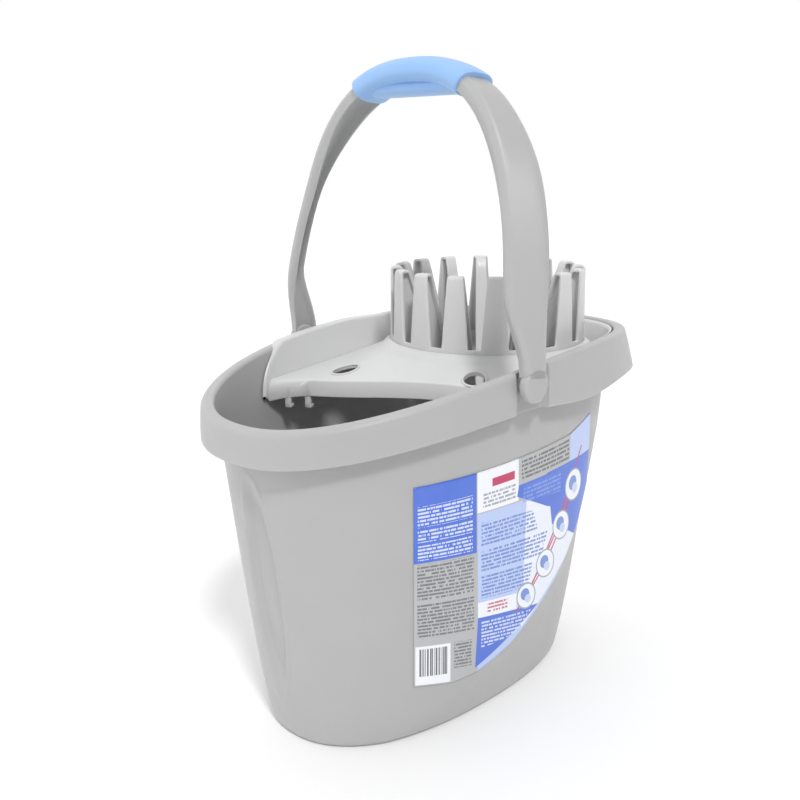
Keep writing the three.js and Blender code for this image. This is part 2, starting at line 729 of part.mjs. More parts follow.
const mopBucket = new THREE.Group();
mopBucket.position.x = -TOP_SHIFT - (END_LIP + SKIRT_FLARE_END - SKIRT_FLARE) / 2;
mopBucket.add(meshOf(bucketBody(), 'bucket_body', plastic(0xb4b4b4, 0.42)));
mopBucket.add(meshOf(sideLabel(), 'side_label', plastic(0x4f79d2, 0.5)));
mopBucket.add(wringer);
mopBucket.add(handle);

export default mopBucket;
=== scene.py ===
import math
import bmesh
import bpy
from mathutils import Matrix, Vector


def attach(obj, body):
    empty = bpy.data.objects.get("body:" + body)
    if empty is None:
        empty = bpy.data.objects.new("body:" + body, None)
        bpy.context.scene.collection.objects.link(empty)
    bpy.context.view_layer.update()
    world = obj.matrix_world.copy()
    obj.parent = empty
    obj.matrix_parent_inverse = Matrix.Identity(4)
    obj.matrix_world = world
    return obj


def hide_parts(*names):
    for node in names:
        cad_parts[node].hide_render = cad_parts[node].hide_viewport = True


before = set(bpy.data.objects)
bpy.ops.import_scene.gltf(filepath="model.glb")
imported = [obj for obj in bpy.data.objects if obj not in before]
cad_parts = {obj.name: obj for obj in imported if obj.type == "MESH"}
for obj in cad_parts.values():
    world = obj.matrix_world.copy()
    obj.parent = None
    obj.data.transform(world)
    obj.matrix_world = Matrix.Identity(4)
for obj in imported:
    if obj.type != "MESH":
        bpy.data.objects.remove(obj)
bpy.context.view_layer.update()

# ---- Stand ----
# A pale floor under soft studio light: one broad lamp high in front on the near side, and a surround
# that is white behind and greyer in front. The camera stands at the pouring end's near corner.
MM = 0.001
LOOK_AT = Vector((-32.0, 0.0, 229.8)) * MM
CAMERA_TURN = math.radians(44.59)
CAMERA_RISE = math.radians(14.4)
CAMERA_ROLL = math.radians(-0.44)
CAMERA_REACH = 735.8 * MM
LENS = 44.2
FLOOR_HALF = 6.0
FLOOR_COLOUR = "#fbfbfb"
SUN_FROM = Vector((-0.5, -0.85, 1.1))
SUN_STRENGTH, SUN_SPREAD = 1.5, math.radians(9)
BRIGHT_SIDE = (0.0, 0.97, 0.15)
SURROUND_LOW, SURROUND_HIGH = 0.34, 1.0
SURROUND_FROM, SURROUND_TO = -0.75, 0.25
PAPER_GRAIN = 25 * MM


def linear(code):
    """An sRGB hex colour as linear red, green, blue and alpha."""
    parts = [int(code[i:i + 2], 16) / 255 for i in (1, 3, 5)]
    return [c / 12.92 if c <= 0.04045 else ((c + 0.055) / 1.055) ** 2.4 for c in parts] + [1.0]


def add_node(tree, kind, props, inputs):
    """Adds a node, sets its properties, and fills or links its inputs."""
    node = tree.nodes.new("ShaderNode" + kind)
    for name, value in props.items():
        setattr(node, name, value)
    for key, value in inputs.items():
        if isinstance(value, bpy.types.NodeSocket):
            tree.links.new(value, node.inputs[key])
        else:
            node.inputs[key].default_value = value
    return node


def new_material(name):
    material = bpy.data.materials.new(name)
    material.use_nodes = True
    material.node_tree.nodes.clear()
    return material, material.node_tree


def make_object(bm, name, material, sharp_angle):
    """Turns a bmesh into an object at the origin, smooth except where faces meet more sharply."""
    mesh = bpy.data.meshes.new(name)
    bm.to_mesh(mesh)
    bm.free()
    mesh.materials.append(material)
    mesh.shade_smooth()
    mesh.set_sharp_from_angle(angle=math.radians(sharp_angle))
    piece = bpy.data.objects.new(name, mesh)
    bpy.context.scene.collection.objects.link(piece)
    return piece


paper, tree = new_material("floor_matt_paper")
place = add_node(tree, "TexCoord", {}, {}).outputs["Object"]
grain = add_node(tree, "TexNoise", {}, {"Vector": place, "Scale": 1 / PAPER_GRAIN, "Detail": 3.0})
tone = add_node(tree, "MapRange", {}, {
    "Value": grain.outputs["Fac"], "To Min": 0.78, "To Max": 0.84})
surface = add_node(tree, "BsdfPrincipled", {}, {
    "Base Color": linear(FLOOR_COLOUR), "Roughness": tone.outputs[0]})
add_node(tree, "OutputMaterial", {}, {"Surface": surface.outputs[0]})
bm = bmesh.new()
bmesh.ops.create_grid(bm, x_segments=1, y_segments=1, size=FLOOR_HALF)
floor = make_object(bm, "floor", paper, 30)

sun = bpy.data.lights.new("studio_sun", "SUN")
sun.energy = SUN_STRENGTH
sun.angle = SUN_SPREAD
lamp = bpy.data.objects.new("studio_sun", sun)
lamp.rotation_euler = SUN_FROM.to_track_quat("Z", "Y").to_euler()
bpy.context.scene.collection.objects.link(lamp)

world = bpy.data.worlds.new("surround")
bpy.context.scene.world = world
world.use_nodes = True
tree = world.node_tree
tree.nodes.clear()
direction = add_node(tree, "TexCoord", {}, {}).outputs["Generated"]
towards = add_node(tree, "VectorMath", {"operation": "DOT_PRODUCT"}, {0: direction, 1: BRIGHT_SIDE})
level = add_node(tree, "MapRange", {"interpolation_type": "SMOOTHSTEP"}, {
    "Value": towards.outputs["Value"], "From Min": SURROUND_FROM, "From Max": SURROUND_TO,
    "To Min": SURROUND_LOW, "To Max": SURROUND_HIGH})
glow = add_node(tree, "Background", {}, {"Color": (1, 1, 1, 1), "Strength": level.outputs[0]})
add_node(tree, "OutputWorld", {}, {"Surface": glow.outputs[0]})
bpy.context.scene.view_settings.view_transform = "Standard"

ahead = Vector((
    math.sin(CAMERA_TURN) * math.cos(CAMERA_RISE),
    math.cos(CAMERA_TURN) * math.cos(CAMERA_RISE),
    -math.sin(CAMERA_RISE),
))
camera = bpy.data.objects.new("camera", bpy.data.cameras.new("camera"))
camera.data.lens = LENS
camera.data.clip_start = 0.05
camera.location = LOOK_AT - ahead * CAMERA_REACH
facing = ahead.to_track_quat("-Z", "Y").to_matrix()
camera.rotation_euler = (facing @ Matrix.Rotation(CAMERA_ROLL, 3, "Z")).to_euler()
bpy.context.scene.collection.objects.link(camera)
bpy.context.scene.camera = camera

# ---- Bucket ----
# One injection moulding in light grey polypropylene: a tapering oval tub whose rim folds out into a
# hanging collar. The collar has a pocket on each side for the handle, the pouring end has a tall
# hand recess, and below a rising crease the wall is scooped in towards the wringer end.
RIM_HEIGHT = 270.0
RIM_SLOPE = 0.09
RIM_BOW = 0.000463
RIM_BEND_START = 200.0
WALL = 2.2
FLOOR_THICKNESS = 2.6
BASE_LENGTH, BASE_WIDTH, BASE_SHIFT = 140.0, 78.0, 5.5
TOP_LENGTH, TOP_WIDTH, TOP_SHIFT = 169.7, 106.7, 1.3
OVAL_POWER = 2.26
WALL_CURVE = 0.75
FOOT_ROUND = 4.0
FOOT_RING = 14.0
FOOT_RECESS = 1.6
RIM_LIP = 9.6
RIM_ROUND = 3.2
SKIRT_DROP, SKIRT_DROP_MORE, SKIRT_CROWN = 23.0, 10.0, 0.3
SKIRT_DIP, SKIRT_DIP_TURN, SKIRT_DIP_SPREAD = 8.0, math.radians(75), math.radians(14)
SKIRT_FLARE, SKIRT_FLARE_END, CORNER_FLARE = 0.8, 8.0, 1.5
END_SQUARENESS, SQUARE_RISE = 0.27, (-60.0, 130.0)
END_LIP, END_LIP_ACROSS = 12.5, 0.4
END_OPENING, END_OPENING_ACROSS = 14.0, 0.2
COLLAR_ROOT = 40.0
COLLAR_JOIN = RIM_HEIGHT - 12.0
COLLAR_UNDERSIDE = 4.2
RECESS_DEPTH, RECESS_HALF_WIDTH = 6.0, 16.0
RECESS_LOW, RECESS_HIGH = 32.0, 206.0
RECESS_BEAD = 0.5
SCOOP_DEPTH, SCOOP_RUN = 4.2, 20.0
SCOOP_FADE = (120.0, 205.0)
CREASE_SLOPE, CREASE_START = 0.45, -107.0
CREASE_CORNER, CREASE_CORNER_RISE, CREASE_BEND = 113.0, 87.0, 28.0
PIVOT_X, PIVOT_Z = -14.9, 260.0
POCKET_LEFT, POCKET_RIGHT, POCKET_FLOOR, POCKET_BACK = -24.0, 8.5, 110.2, 105.4
POCKET_EDGE = 1.0
STUD_RADIUS, STUD_TIP = 5.0, 116.5
WALL_ROWS = 150
BUCKET_GREY, BUCKET_SHADE = "#b7b7b7", "#b1b1b1"
MIDDLE_X = -TOP_SHIFT - (END_LIP + SKIRT_FLARE_END - SKIRT_FLARE) / 2
TO_ROW_FRAME = Matrix.Scale(MM, 4) @ Matrix.Translation((MIDDLE_X, 0, 0))
ACROSS = Matrix.Rotation(math.pi / 2, 3, "X")


def step(value, low, high):
    """0 below low, 1 above high, and a smooth rise between."""
    t = min(1.0, max(0.0, (value - low) / (high - low)))
    return t * t * (3 - 2 * t)


def signed_power(value, power):
    return math.copysign(abs(value) ** power, value)


def oval(turn, length, width, squareness=0.0):
    power = 2 / (OVAL_POWER + squareness * step(math.cos(turn), 0.15, 0.5))
    return signed_power(math.cos(turn), power) * length, signed_power(math.sin(turn), power) * width


def turn_at(x):
    """The turn, on the far side, at which the rim's inner edge reaches x."""
    share = (x - TOP_SHIFT) / (TOP_LENGTH - WALL)
    return math.acos(signed_power(share, OVAL_POWER / 2))


def rim_rise(x):
    return RIM_SLOPE * x - RIM_BOW * x * x


def towards_end(turn):
    return max(0.0, math.cos(turn)) ** 1.5


def crease_height(x):
    corner_rise = CREASE_CORNER_RISE * math.exp((x - CREASE_CORNER) / CREASE_BEND)
    return CREASE_SLOPE * (x - CREASE_START) + corner_rise


def pressed_in(x, y, z):
    """How far the wall is pressed in by the hand recess and by the scoop below the crease."""
    depth = 0.0
    if x < 0:
        along = (2 * z - RECESS_LOW - RECESS_HIGH) / (RECESS_HIGH - RECESS_LOW)
        reach = math.hypot(y / RECESS_HALF_WIDTH, along)
        depth += RECESS_DEPTH * (1 - step(reach, 0.66, 0.97)) * (0.75 + 0.25 * (1 - min(1.0, reach)))
        depth -= RECESS_BEAD * math.exp(-((reach - 1.02) / 0.05) ** 2)
    below = crease_height(x) - z
    if below > 0:
        depth += SCOOP_DEPTH * (1 - math.exp(-below / SCOOP_RUN)) * (1 - step(z, *SCOOP_FADE))
    return depth


def wall_row(z, out):
    """A ring of the tub's wall, moved out by some distance."""
    def place(turn):
        share = min(1.0, max(0.0, z / RIM_HEIGHT))
        swell = share ** WALL_CURVE
        length = BASE_LENGTH + (TOP_LENGTH - BASE_LENGTH) * swell
        width = BASE_WIDTH + (TOP_WIDTH - BASE_WIDTH) * swell
        shift = BASE_SHIFT + (TOP_SHIFT - BASE_SHIFT) * share
        x, y = oval(turn, length + out, width + out, END_SQUARENESS * step(z, *SQUARE_RISE))
        opening = END_OPENING * towards_end(turn) * step(z, RIM_HEIGHT - COLLAR_ROOT, RIM_HEIGHT)
        inward = pressed_in(x, y, z)
        x = shift + x * (length + opening - inward) / length
        y = y * (width + opening * END_OPENING_ACROSS - inward) / width
        climb = min(1.0, max(0.0, (z - RIM_BEND_START) / (RIM_HEIGHT - RIM_BEND_START)))
        return Vector((x, y, z + rim_rise(x) * climb))
    return place


def collar_place(turn, out, down):
    lip = END_LIP * towards_end(turn)
    length = TOP_LENGTH - WALL + out + lip
    width = TOP_WIDTH - WALL + out + lip * END_LIP_ACROSS
    x, y = oval(turn, length, width, END_SQUARENESS)
    x += TOP_SHIFT
    return Vector((x, y, RIM_HEIGHT + rim_rise(x) - down))


def skirt_drop(turn):
    """Depth of the skirt, which dips on each side behind the pocket."""
    dip = (math.acos(math.cos(turn)) - SKIRT_DIP_TURN) / SKIRT_DIP_SPREAD
    return SKIRT_DROP + SKIRT_DROP_MORE * (1 + math.cos(turn)) / 2 + SKIRT_DIP * math.exp(-dip * dip)


def in_pocket(place, inner_face):
    """Holds a collar point back to the pocket's floor, or to the block's back."""
    if POCKET_LEFT < place.x < POCKET_RIGHT:
        limit = POCKET_BACK if inner_face else POCKET_FLOOR
        place.y = math.copysign(min(abs(place.y), limit), place.y)
    return place


def collar_row(out, down):
    return lambda turn: in_pocket(collar_place(turn, out, down), False)


def skirt_row(out, share, inner_face=False):
    """A ring on the skirt, a share of the way down to its lower edge."""
    def place(turn):
        flare = SKIRT_FLARE + (SKIRT_FLARE_END - SKIRT_FLARE) * towards_end(turn)
        flare += CORNER_FLARE * math.sin(2 * turn) ** 2 * step(math.cos(turn), 0.1, 0.6)
        crown = 0 if inner_face else SKIRT_CROWN * math.sin(math.pi * share)
        down = RIM_ROUND + (skirt_drop(turn) - RIM_ROUND) * share
        return in_pocket(collar_place(turn, out + crown + flare * share, down), inner_face)
    return place


def floor_row(share, z):
    def place(turn):
        x, y = oval(turn, (BASE_LENGTH - FOOT_ROUND) * share, (BASE_WIDTH - FOOT_ROUND) * share)
        edge_x, edge_y = oval(turn, BASE_LENGTH, BASE_WIDTH)
        inward = pressed_in(edge_x, edge_y, 0.0) * share
        x *= 1 - inward / BASE_LENGTH
        y *= 1 - inward / BASE_WIDTH
        return Vector((BASE_SHIFT + x, y, z))
    return place


def net(rows, columns, closed=True):
    """A sheet of quads made by spin, one ring for each row, whose points are then put in place.

    Each row is a function from a column's value to a place in mm. An open sheet spans half a turn
    before its points are placed.
    """
    bm = bmesh.new()
    count = len(columns)
    spine = [bm.verts.new((1.0, 0.0, float(i))) for i in range(len(rows))]
    edges = [bm.edges.new(pair) for pair in zip(spine, spine[1:])]
    steps = count if closed else count - 1
    sweep = 2 * math.pi if closed else math.pi
    bmesh.ops.spin(bm, geom=spine + edges, cent=(0, 0, 0), axis=(0, 0, 1), angle=sweep, steps=steps,
                   use_merge=closed)
    pitch = sweep / steps
    for vert in bm.verts:
        turn = math.atan2(vert.co.y, vert.co.x)
        if turn < -pitch / 2:
            turn += 2 * math.pi
        index = round(turn / pitch)
        index = index % count if closed else min(count - 1, index)
        vert.co = rows[round(vert.co.z)](columns[index])
    bmesh.ops.remove_doubles(bm, verts=bm.verts, dist=1e-3)
    return bm


def spread(low, high, steps):
    return [low + (high - low) * i / steps for i in range(steps)]


def pocket_turns():
    """Turns of the far side's columns: close together at the pocket's edges and at the recess."""
    right = turn_at(POCKET_RIGHT)
    left = turn_at(POCKET_LEFT)
    hair = 0.5 * POCKET_EDGE / TOP_LENGTH
    recess = math.pi - 0.17
    turns = spread(0, right - hair, 46) + [right - hair, right + hair]
    turns += spread(right + 3 * hair, left - 3 * hair, 12) + [left - hair, left + hair]
    turns += spread(left + 4 * hair, recess, 40) + spread(recess, math.pi, 20)
    return turns


far_turns = pocket_turns()
bucket_turns = far_turns + [math.pi] + [2 * math.pi - t for t in reversed(far_turns[1:])]

foot_arc = [(FOOT_ROUND * (1 - math.sin(a)), FOOT_ROUND * (1 - math.cos(a)))
            for a in spread(0, math.pi / 2, 4)]
wall_levels = [FOOT_ROUND + (COLLAR_JOIN - FOOT_ROUND) * i / WALL_ROWS
               for i in range(WALL_ROWS + 1)]
rim_arc = [(RIM_ROUND * (1 - math.cos(a)), RIM_ROUND * (1 - math.sin(a)))
           for a in spread(0, math.pi / 2, 5)]
skirt_inner = RIM_LIP - WALL
rows = [floor_row(s, FOOT_RECESS) for s in (0, 0.3, 0.6, 1 - FOOT_RING / BASE_LENGTH)]
rows += [floor_row(1 - (FOOT_RING - 2) / BASE_LENGTH, 0), floor_row(1, 0)]
rows += [wall_row(z, -inset) for inset, z in foot_arc[1:]]
rows += [wall_row(z, 0) for z in wall_levels]
rows += [collar_row(WALL, COLLAR_UNDERSIDE)]
rows += [skirt_row(skirt_inner, share, True) for share in (0.05, 0.5, 0.97)]
rows += [skirt_row(skirt_inner + 0.5, 1.0, True)]
rows += [skirt_row(RIM_LIP - 0.6, 1.0), skirt_row(RIM_LIP, 0.97)]
rows += [skirt_row(RIM_LIP, share) for share in (0.85, 0.7, 0.55, 0.4, 0.25, 0.12, 0.0)]
rows += [collar_row(RIM_LIP - inset, down) for inset, down in rim_arc[1:]]
rows += [collar_row(out, 0) for out in (RIM_LIP - RIM_ROUND, RIM_LIP / 2, RIM_ROUND)]
rows += [collar_row(inset, down) for inset, down in reversed(rim_arc)]
rows += [wall_row(z, -WALL) for z in reversed(wall_levels[::3])]
inner_floor = FOOT_RECESS + FLOOR_THICKNESS
rows += [floor_row(0.975, inner_floor + 1)]
rows += [floor_row(s, inner_floor) for s in (0.95, 0.6, 0.3, 0)]
bm = net(rows, bucket_turns)

for side in (-1, 1):
    stud = bmesh.ops.create_cone(bm, cap_ends=True, segments=32, radius1=STUD_RADIUS,
                                 radius2=STUD_RADIUS, depth=STUD_TIP - POCKET_BACK)
    bmesh.ops.rotate(bm, verts=stud["verts"], cent=(0, 0, 0), matrix=ACROSS)
    bmesh.ops.translate(bm, verts=stud["verts"],
                        vec=(PIVOT_X, side * (STUD_TIP + POCKET_BACK) / 2, PIVOT_Z))
bmesh.ops.recalc_face_normals(bm, faces=bm.faces)
bm.transform(TO_ROW_FRAME)


def moulded_plastic(name, colour, shade, roughness, glow):
    """Injection moulded polypropylene: a satin skin with a fine spark-eroded grain.

    The colour wanders a little with the flow of the melt, and the grain is drawn at 0.9 mm, coarser
    than the real 0.2 mm, so that it shows. Thin sheet lets some light through.
    """
    flow_size, scuff_size, grain_size = 55 * MM, 9 * MM, 0.9 * MM
    material, tree = new_material(name)
    place = add_node(tree, "TexCoord", {}, {}).outputs["Object"]
    flow, scuff, grain = [
        add_node(tree, "TexNoise", {}, {"Vector": place, "Scale": 1 / size, "Detail": detail})
        for size, detail in ((flow_size, 2.0), (scuff_size, 4.0), (grain_size, 2.0))]
    mixed = add_node(tree, "Mix", {"data_type": "RGBA"},
                     {"Factor": flow.outputs["Fac"], 6: linear(colour), 7: linear(shade)})
    rough = add_node(tree, "MapRange", {}, {
        "Value": scuff.outputs["Fac"], "From Min": 0.3, "From Max": 0.7,
        "To Min": roughness - 0.05, "To Max": roughness + 0.06})
    bump = add_node(tree, "Bump", {}, {
        "Height": grain.outputs["Fac"], "Strength": 0.12, "Distance": 0.1 * MM})
    surface = add_node(tree, "BsdfPrincipled", {"subsurface_method": "RANDOM_WALK"}, {
        "Base Color": mixed.outputs[2], "Roughness": rough.outputs[0], "IOR": 1.49,
        "Normal": bump.outputs[0], "Subsurface Weight": glow, "Subsurface Scale": 4 * MM,
        "Subsurface Radius": (1.0, 1.0, 1.0),
    })
    add_node(tree, "OutputMaterial", {}, {"Surface": surface.outputs[0]})
    return material


bucket_plastic = moulded_plastic("polypropylene_moulded_grey", BUCKET_GREY, BUCKET_SHADE, 0.42, 0.35)
bucket = make_object(bm, "bucket_tub", bucket_plastic, 42)
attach(bucket, "bucket")
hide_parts("bucket_body")

# ---- Label ----
# A printed self-adhesive film on the near wall, from under the collar down to the crease. Its print
# is drawn as plain panels, bars, discs and rows of short strokes; it carries no words or marks.
FILM_OUT, FILM_THICKNESS = 0.5, 0.3
FILM_COLUMNS, FILM_ROWS = 110, 90
FILM_TOP = ((-88.5, 201.5), (76.0, 201.5), (113.0, 207.0))
FILM_FOOT = ((-88.5, 33.7), (-58.0, 33.7), (-38.0, 39.0), (0.0, 58.7), (30.0, 81.0),
             (60.2, 104.1), (87.3, 129.9), (113.0, 163.0))
STROKE_PITCH, STROKE_HEIGHT, STROKE_STRENGTH = 2.9, 0.56, 0.85
WORD_LENGTH, WORD_SHARE, ROW_SHUFFLE = 1.6, 0.4, 7.3
BLUE, PALE_BLUE, WHITE = "#3e6bd8", "#bccdf6", "#f4f6fb"
INK, CRIMSON, CLEAR = "#5a5e66", "#c4205a", BUCKET_GREY
CLOUDS_PER_MM, CLOUD_STRENGTH, PEEL_PER_MM, BARS_PER_MM = 0.03, 0.12, 0.6, 0.9
BAR_BOX = ((-85, 43), (-63, 43), (-63, 67.5), (-85, 67.5))
TRAIL_FOOT, TRAIL_TOP, TRAIL_HALF_WIDTH = (4.0, 84.0, 0), (96.0, 190.0, 0), 1.1
# Each shape is a colour, whether it is broken into strokes, and its corners in mm on the flat film.
PRINT = (
    (BLUE, False, ((-88.5, 140.7), (-37.4, 140.7), (-37.4, 202), (-88.5, 202))),
    ("#e4ebfb", True, ((-85.5, 169.5), (-41, 169.5), (-41, 186), (-85.5, 186))),
    ("#e4ebfb", True, ((-85.5, 157.5), (-41, 157.5), (-41, 167), (-85.5, 167))),
    ("#e4ebfb", True, ((-85.5, 143), (-41, 143), (-41, 155), (-85.5, 155))),
    (INK, True, ((-86, 109.5), (-40, 109.5), (-40, 139.5), (-86, 139.5))),
    (INK, True, ((-86, 77), (-40, 77), (-40, 107), (-86, 107))),
    (WHITE, False, ((-87.3, 35.3), (-60.6, 35.3), (-60.6, 70), (-87.3, 70))),
    (INK, True, ((-57.5, 47), (-42, 47), (-42, 70), (-57.5, 70))),
    (WHITE, False, ((-36.6, 171), (6.5, 171), (6.5, 201.5), (-36.6, 201.5))),
    (CRIMSON, False, ((-22, 188), (2, 188), (2, 194), (-22, 194))),
    ("#8d93a3", True, ((-31, 174), (3, 174), (3, 185), (-31, 185))),
    ("#4a4d54", True, ((10, 184.5), (75, 184.5), (75, 199.5), (10, 199.5))),
    (PALE_BLUE, False, ((76.5, 183.8), (114, 183.8), (114, 208), (76.5, 201))),
    (PALE_BLUE, False, ((-36.3, 30), (120, 110), (120, 170), (-36.3, 170))),
    ("#eef2fd", False, ((10, 70), (104, 140), (60, 168), (16, 170))),
    (BLUE, False, ((6.8, 182), (60, 182.5), (60, 152), (42, 159.2), (3.5, 168.8))),
    (BLUE, False, ((42, 183), (114, 184), (114, 160), (87.3, 129.9), (49.8, 144.2))),
    ("#7d9de4", True, ((12, 168), (62, 166), (62, 180), (12, 180))),
    ("#5578c8", True, ((-33, 145), (30, 145), (24, 160), (-33, 163))),
    ("#5578c8", True, ((-33, 124), (36, 124), (44, 142), (-33, 142))),
    ("#5578c8", True, ((-33, 102.5), (18, 102.5), (24, 121), (-33, 121))),
    (WHITE, False, ((-36.3, 86.7), (4.5, 86.7), (4.5, 99.5), (-36.3, 99.5))),
    (CRIMSON, True, ((-27, 89.5), (-6, 89.5), (-6, 97.5), (-27, 97.5))),
    (BLUE, False, ((-36.3, 86.7), (31.3, 85.8), (60, 103), (0, 58.7), (-38.8, 43.2))),
    ("#dfe8fb", True, ((-33, 60), (2, 66), (24, 84), (-33, 84))),
)
DISCS = ((83.2, 166.0, 14.2), (63.7, 141.0, 13.0), (41.0, 116.2, 12.8), (16.1, 95.0, 11.8))


def film_flat(x, z):
    """Where a point of the wall lies on the film laid flat, in mm."""
    across = x * (1 + 0.000783 * (z - 120)) + 0.149 * (z - 120)
    return across, z - (-0.24 + 0.00174 * (z - 45)) * (across + 37)


def film_place(across, up, out):
    """The place on the wall of a point of the flat film."""
    k = across + 37
    z = (up - 0.3183 * k) / (1 - 0.00174 * k)
    x = (across - 0.149 * (z - 120)) / (1 + 0.000783 * (z - 120))
    level = z if z < RIM_BEND_START else (
        RIM_BEND_START + (z - RIM_BEND_START) / (1 + rim_rise(x) / (RIM_HEIGHT - RIM_BEND_START)))
    ring = wall_row(level, out)
    low, high = math.pi, 2 * math.pi
    while high - low > 1e-7:
        middle = (low + high) / 2
        low, high = (middle, high) if ring(middle).x < x else (low, middle)
    return ring(low)


def along(corners, x):
    """Height of a line through corners at x."""
    for (x0, y0), (x1, y1) in zip(corners, corners[1:]):
        if x <= x1:
            return y0 + (y1 - y0) * (x - x0) / (x1 - x0)
    return corners[-1][1]


def film_row(share):
    def place(column):
        across = FILM_TOP[0][0] + (FILM_TOP[-1][0] - FILM_TOP[0][0]) * column / FILM_COLUMNS
        low, high = along(FILM_FOOT, across), along(FILM_TOP, across)
        return film_place(across, low + (high - low) * share, FILM_OUT)
    return place


rows = [film_row(i / FILM_ROWS) for i in range(FILM_ROWS + 1)]
bm = net(rows, list(range(FILM_COLUMNS + 1)), closed=False)
flat_map = bm.loops.layers.uv.new("flat_film")
for face in bm.faces:
    for loop in face.loops:
        across, up = film_flat(loop.vert.co.x, loop.vert.co.z)
        loop[flat_map].uv = (across / 100, up / 100)
bmesh.ops.recalc_face_normals(bm, faces=bm.faces)
middle_face = bm.faces[:][len(bm.faces) // 2]
if middle_face.normal.y > 0:
    bmesh.ops.reverse_faces(bm, faces=bm.faces)
bm.transform(TO_ROW_FRAME)

label_film, tree = new_material("polypropylene_film_printed")
flat = add_node(tree, "UVMap", {"uv_map": "flat_film"}, {}).outputs["UV"]
# The map's unit is 100 mm. The third coordinate is 1, so that an edge's test is one dot product.
flat_mm = add_node(tree, "VectorMath", {"operation": "MULTIPLY_ADD"},
                   {0: flat, 1: (100, 100, 0), 2: (0, 0, 1)}).outputs[0]


def inside(corners):
    """1 inside a convex shape of the flat film, 0 outside."""
    middle_x = sum(x for x, _ in corners) / len(corners)
    middle_y = sum(y for _, y in corners) / len(corners)
    nearest = None
    for (x0, y0), (x1, y1) in zip(corners, corners[1:] + corners[:1]):
        a, b = y0 - y1, x1 - x0
        c = -a * x0 - b * y0
        side = 1 if a * middle_x + b * middle_y + c > 0 else -1
        edge = add_node(tree, "VectorMath", {"operation": "DOT_PRODUCT"},
                        {0: flat_mm, 1: (a * side, b * side, c * side)}).outputs["Value"]
        nearest = edge if nearest is None else add_node(
            tree, "Math", {"operation": "MINIMUM"}, {0: nearest, 1: edge}).outputs[0]
    return add_node(tree, "Math", {"operation": "GREATER_THAN"}, {0: nearest, 1: 0.0}).outputs[0]


def disc(x, y, radius, squash):
    offset = add_node(tree, "VectorMath", {"operation": "MULTIPLY_ADD"},
                      {0: flat_mm, 1: (1, 1 / squash, 0), 2: (-x, -y / squash, 0)}).outputs[0]
    reach = add_node(tree, "VectorMath", {"operation": "LENGTH"}, {0: offset}).outputs["Value"]
    return add_node(tree, "Math", {"operation": "LESS_THAN"}, {0: reach, 1: radius}).outputs[0]


def painted(under, colour, mask):
    return add_node(tree, "Mix", {"data_type": "RGBA"},
                    {"Factor": mask, 6: under, 7: linear(colour)}).outputs[2]


def both(a, b):
    return add_node(tree, "Math", {"operation": "MULTIPLY"}, {0: a, 1: b}).outputs[0]


# Rows of short strokes stand for small print. The real lines are 1.9 mm apart, drawn here at 2.9 mm.
stroke_rows = add_node(tree, "VectorMath", {"operation": "MULTIPLY"},
                       {0: flat_mm, 1: (1 / WORD_LENGTH, 1 / STROKE_PITCH, 0)}).outputs[0]
row_cells = add_node(tree, "SeparateXYZ", {}, {0: stroke_rows})
row_number = add_node(tree, "Math", {"operation": "FLOOR"}, {0: row_cells.outputs["Y"]}).outputs[0]
in_row = add_node(tree, "Math", {"operation": "FRACT"}, {0: row_cells.outputs["Y"]}).outputs[0]
stroke = add_node(tree, "Math", {"operation": "LESS_THAN"}, {0: in_row, 1: STROKE_HEIGHT}).outputs[0]
spaced_rows = both(row_number, ROW_SHUFFLE)
words_at = add_node(tree, "CombineXYZ", {},
                    {"X": row_cells.outputs["X"], "Y": spaced_rows}).outputs[0]
words = add_node(tree, "TexNoise", {"noise_dimensions": "2D"},
                 {"Vector": words_at, "Scale": 1.0, "Detail": 1.0})
word = add_node(tree, "Math", {"operation": "GREATER_THAN"},
                {0: words.outputs["Fac"], 1: WORD_SHARE}).outputs[0]
strokes = both(stroke, word)
clouds = add_node(tree, "TexNoise", {}, {"Vector": flat_mm, "Scale": CLOUDS_PER_MM, "Detail": 2.0})
ink = linear(CLEAR)
for colour, broken, corners in PRINT:
    mask = inside(corners)
    if broken:
        mask = both(both(mask, strokes), STROKE_STRENGTH)
    ink = painted(ink, colour, mask)

# Bars in the white box: dark upright stripes of uneven width.
bar_at = add_node(tree, "VectorMath", {"operation": "MULTIPLY"},
                  {0: flat_mm, 1: (BARS_PER_MM, 0, 0)}).outputs[0]
bars = add_node(tree, "TexNoise", {"noise_dimensions": "2D"},
                {"Vector": bar_at, "Scale": 1.0, "Detail": 0.0})
bar = add_node(tree, "Math", {"operation": "GREATER_THAN"}, {0: bars.outputs["Fac"], 1: 0.5}).outputs[0]
ink = painted(ink, "#3c3f45", both(bar, inside(BAR_BOX)))

# Four round badges on a crimson trail that climbs from badge to badge.
for (x0, y0, _), (x1, y1, _) in zip(DISCS + (TRAIL_TOP,), (TRAIL_FOOT,) + DISCS):
    wide = TRAIL_HALF_WIDTH
    stretch = ((x0 - wide, y0), (x0 + wide, y0), (x1 + wide, y1), (x1 - wide, y1))
    ink = painted(ink, CRIMSON, inside(stretch))
for x, y, radius in DISCS:
    squash = 1 - 0.00174 * (x + 37)
    ink = painted(ink, "#9aa3b5", disc(x, y, radius, squash))
    ink = painted(ink, WHITE, disc(x, y, radius - 1.3, squash))
    ink = painted(ink, "#6b8cd6", disc(x - 1.5, y + 1.5, radius * 0.45, squash))
    ink = painted(ink, "#c9d6f4", disc(x + 2.0, y - 2.5, radius * 0.32, squash))
worn = painted(ink, "#dfe3ec", both(clouds.outputs["Fac"], CLOUD_STRENGTH))
peel = add_node(tree, "TexNoise", {}, {"Vector": flat_mm, "Scale": PEEL_PER_MM, "Detail": 2.0})
bump = add_node(tree, "Bump", {}, {
    "Height": peel.outputs["Fac"], "Strength": 0.1, "Distance": 0.1 * MM})
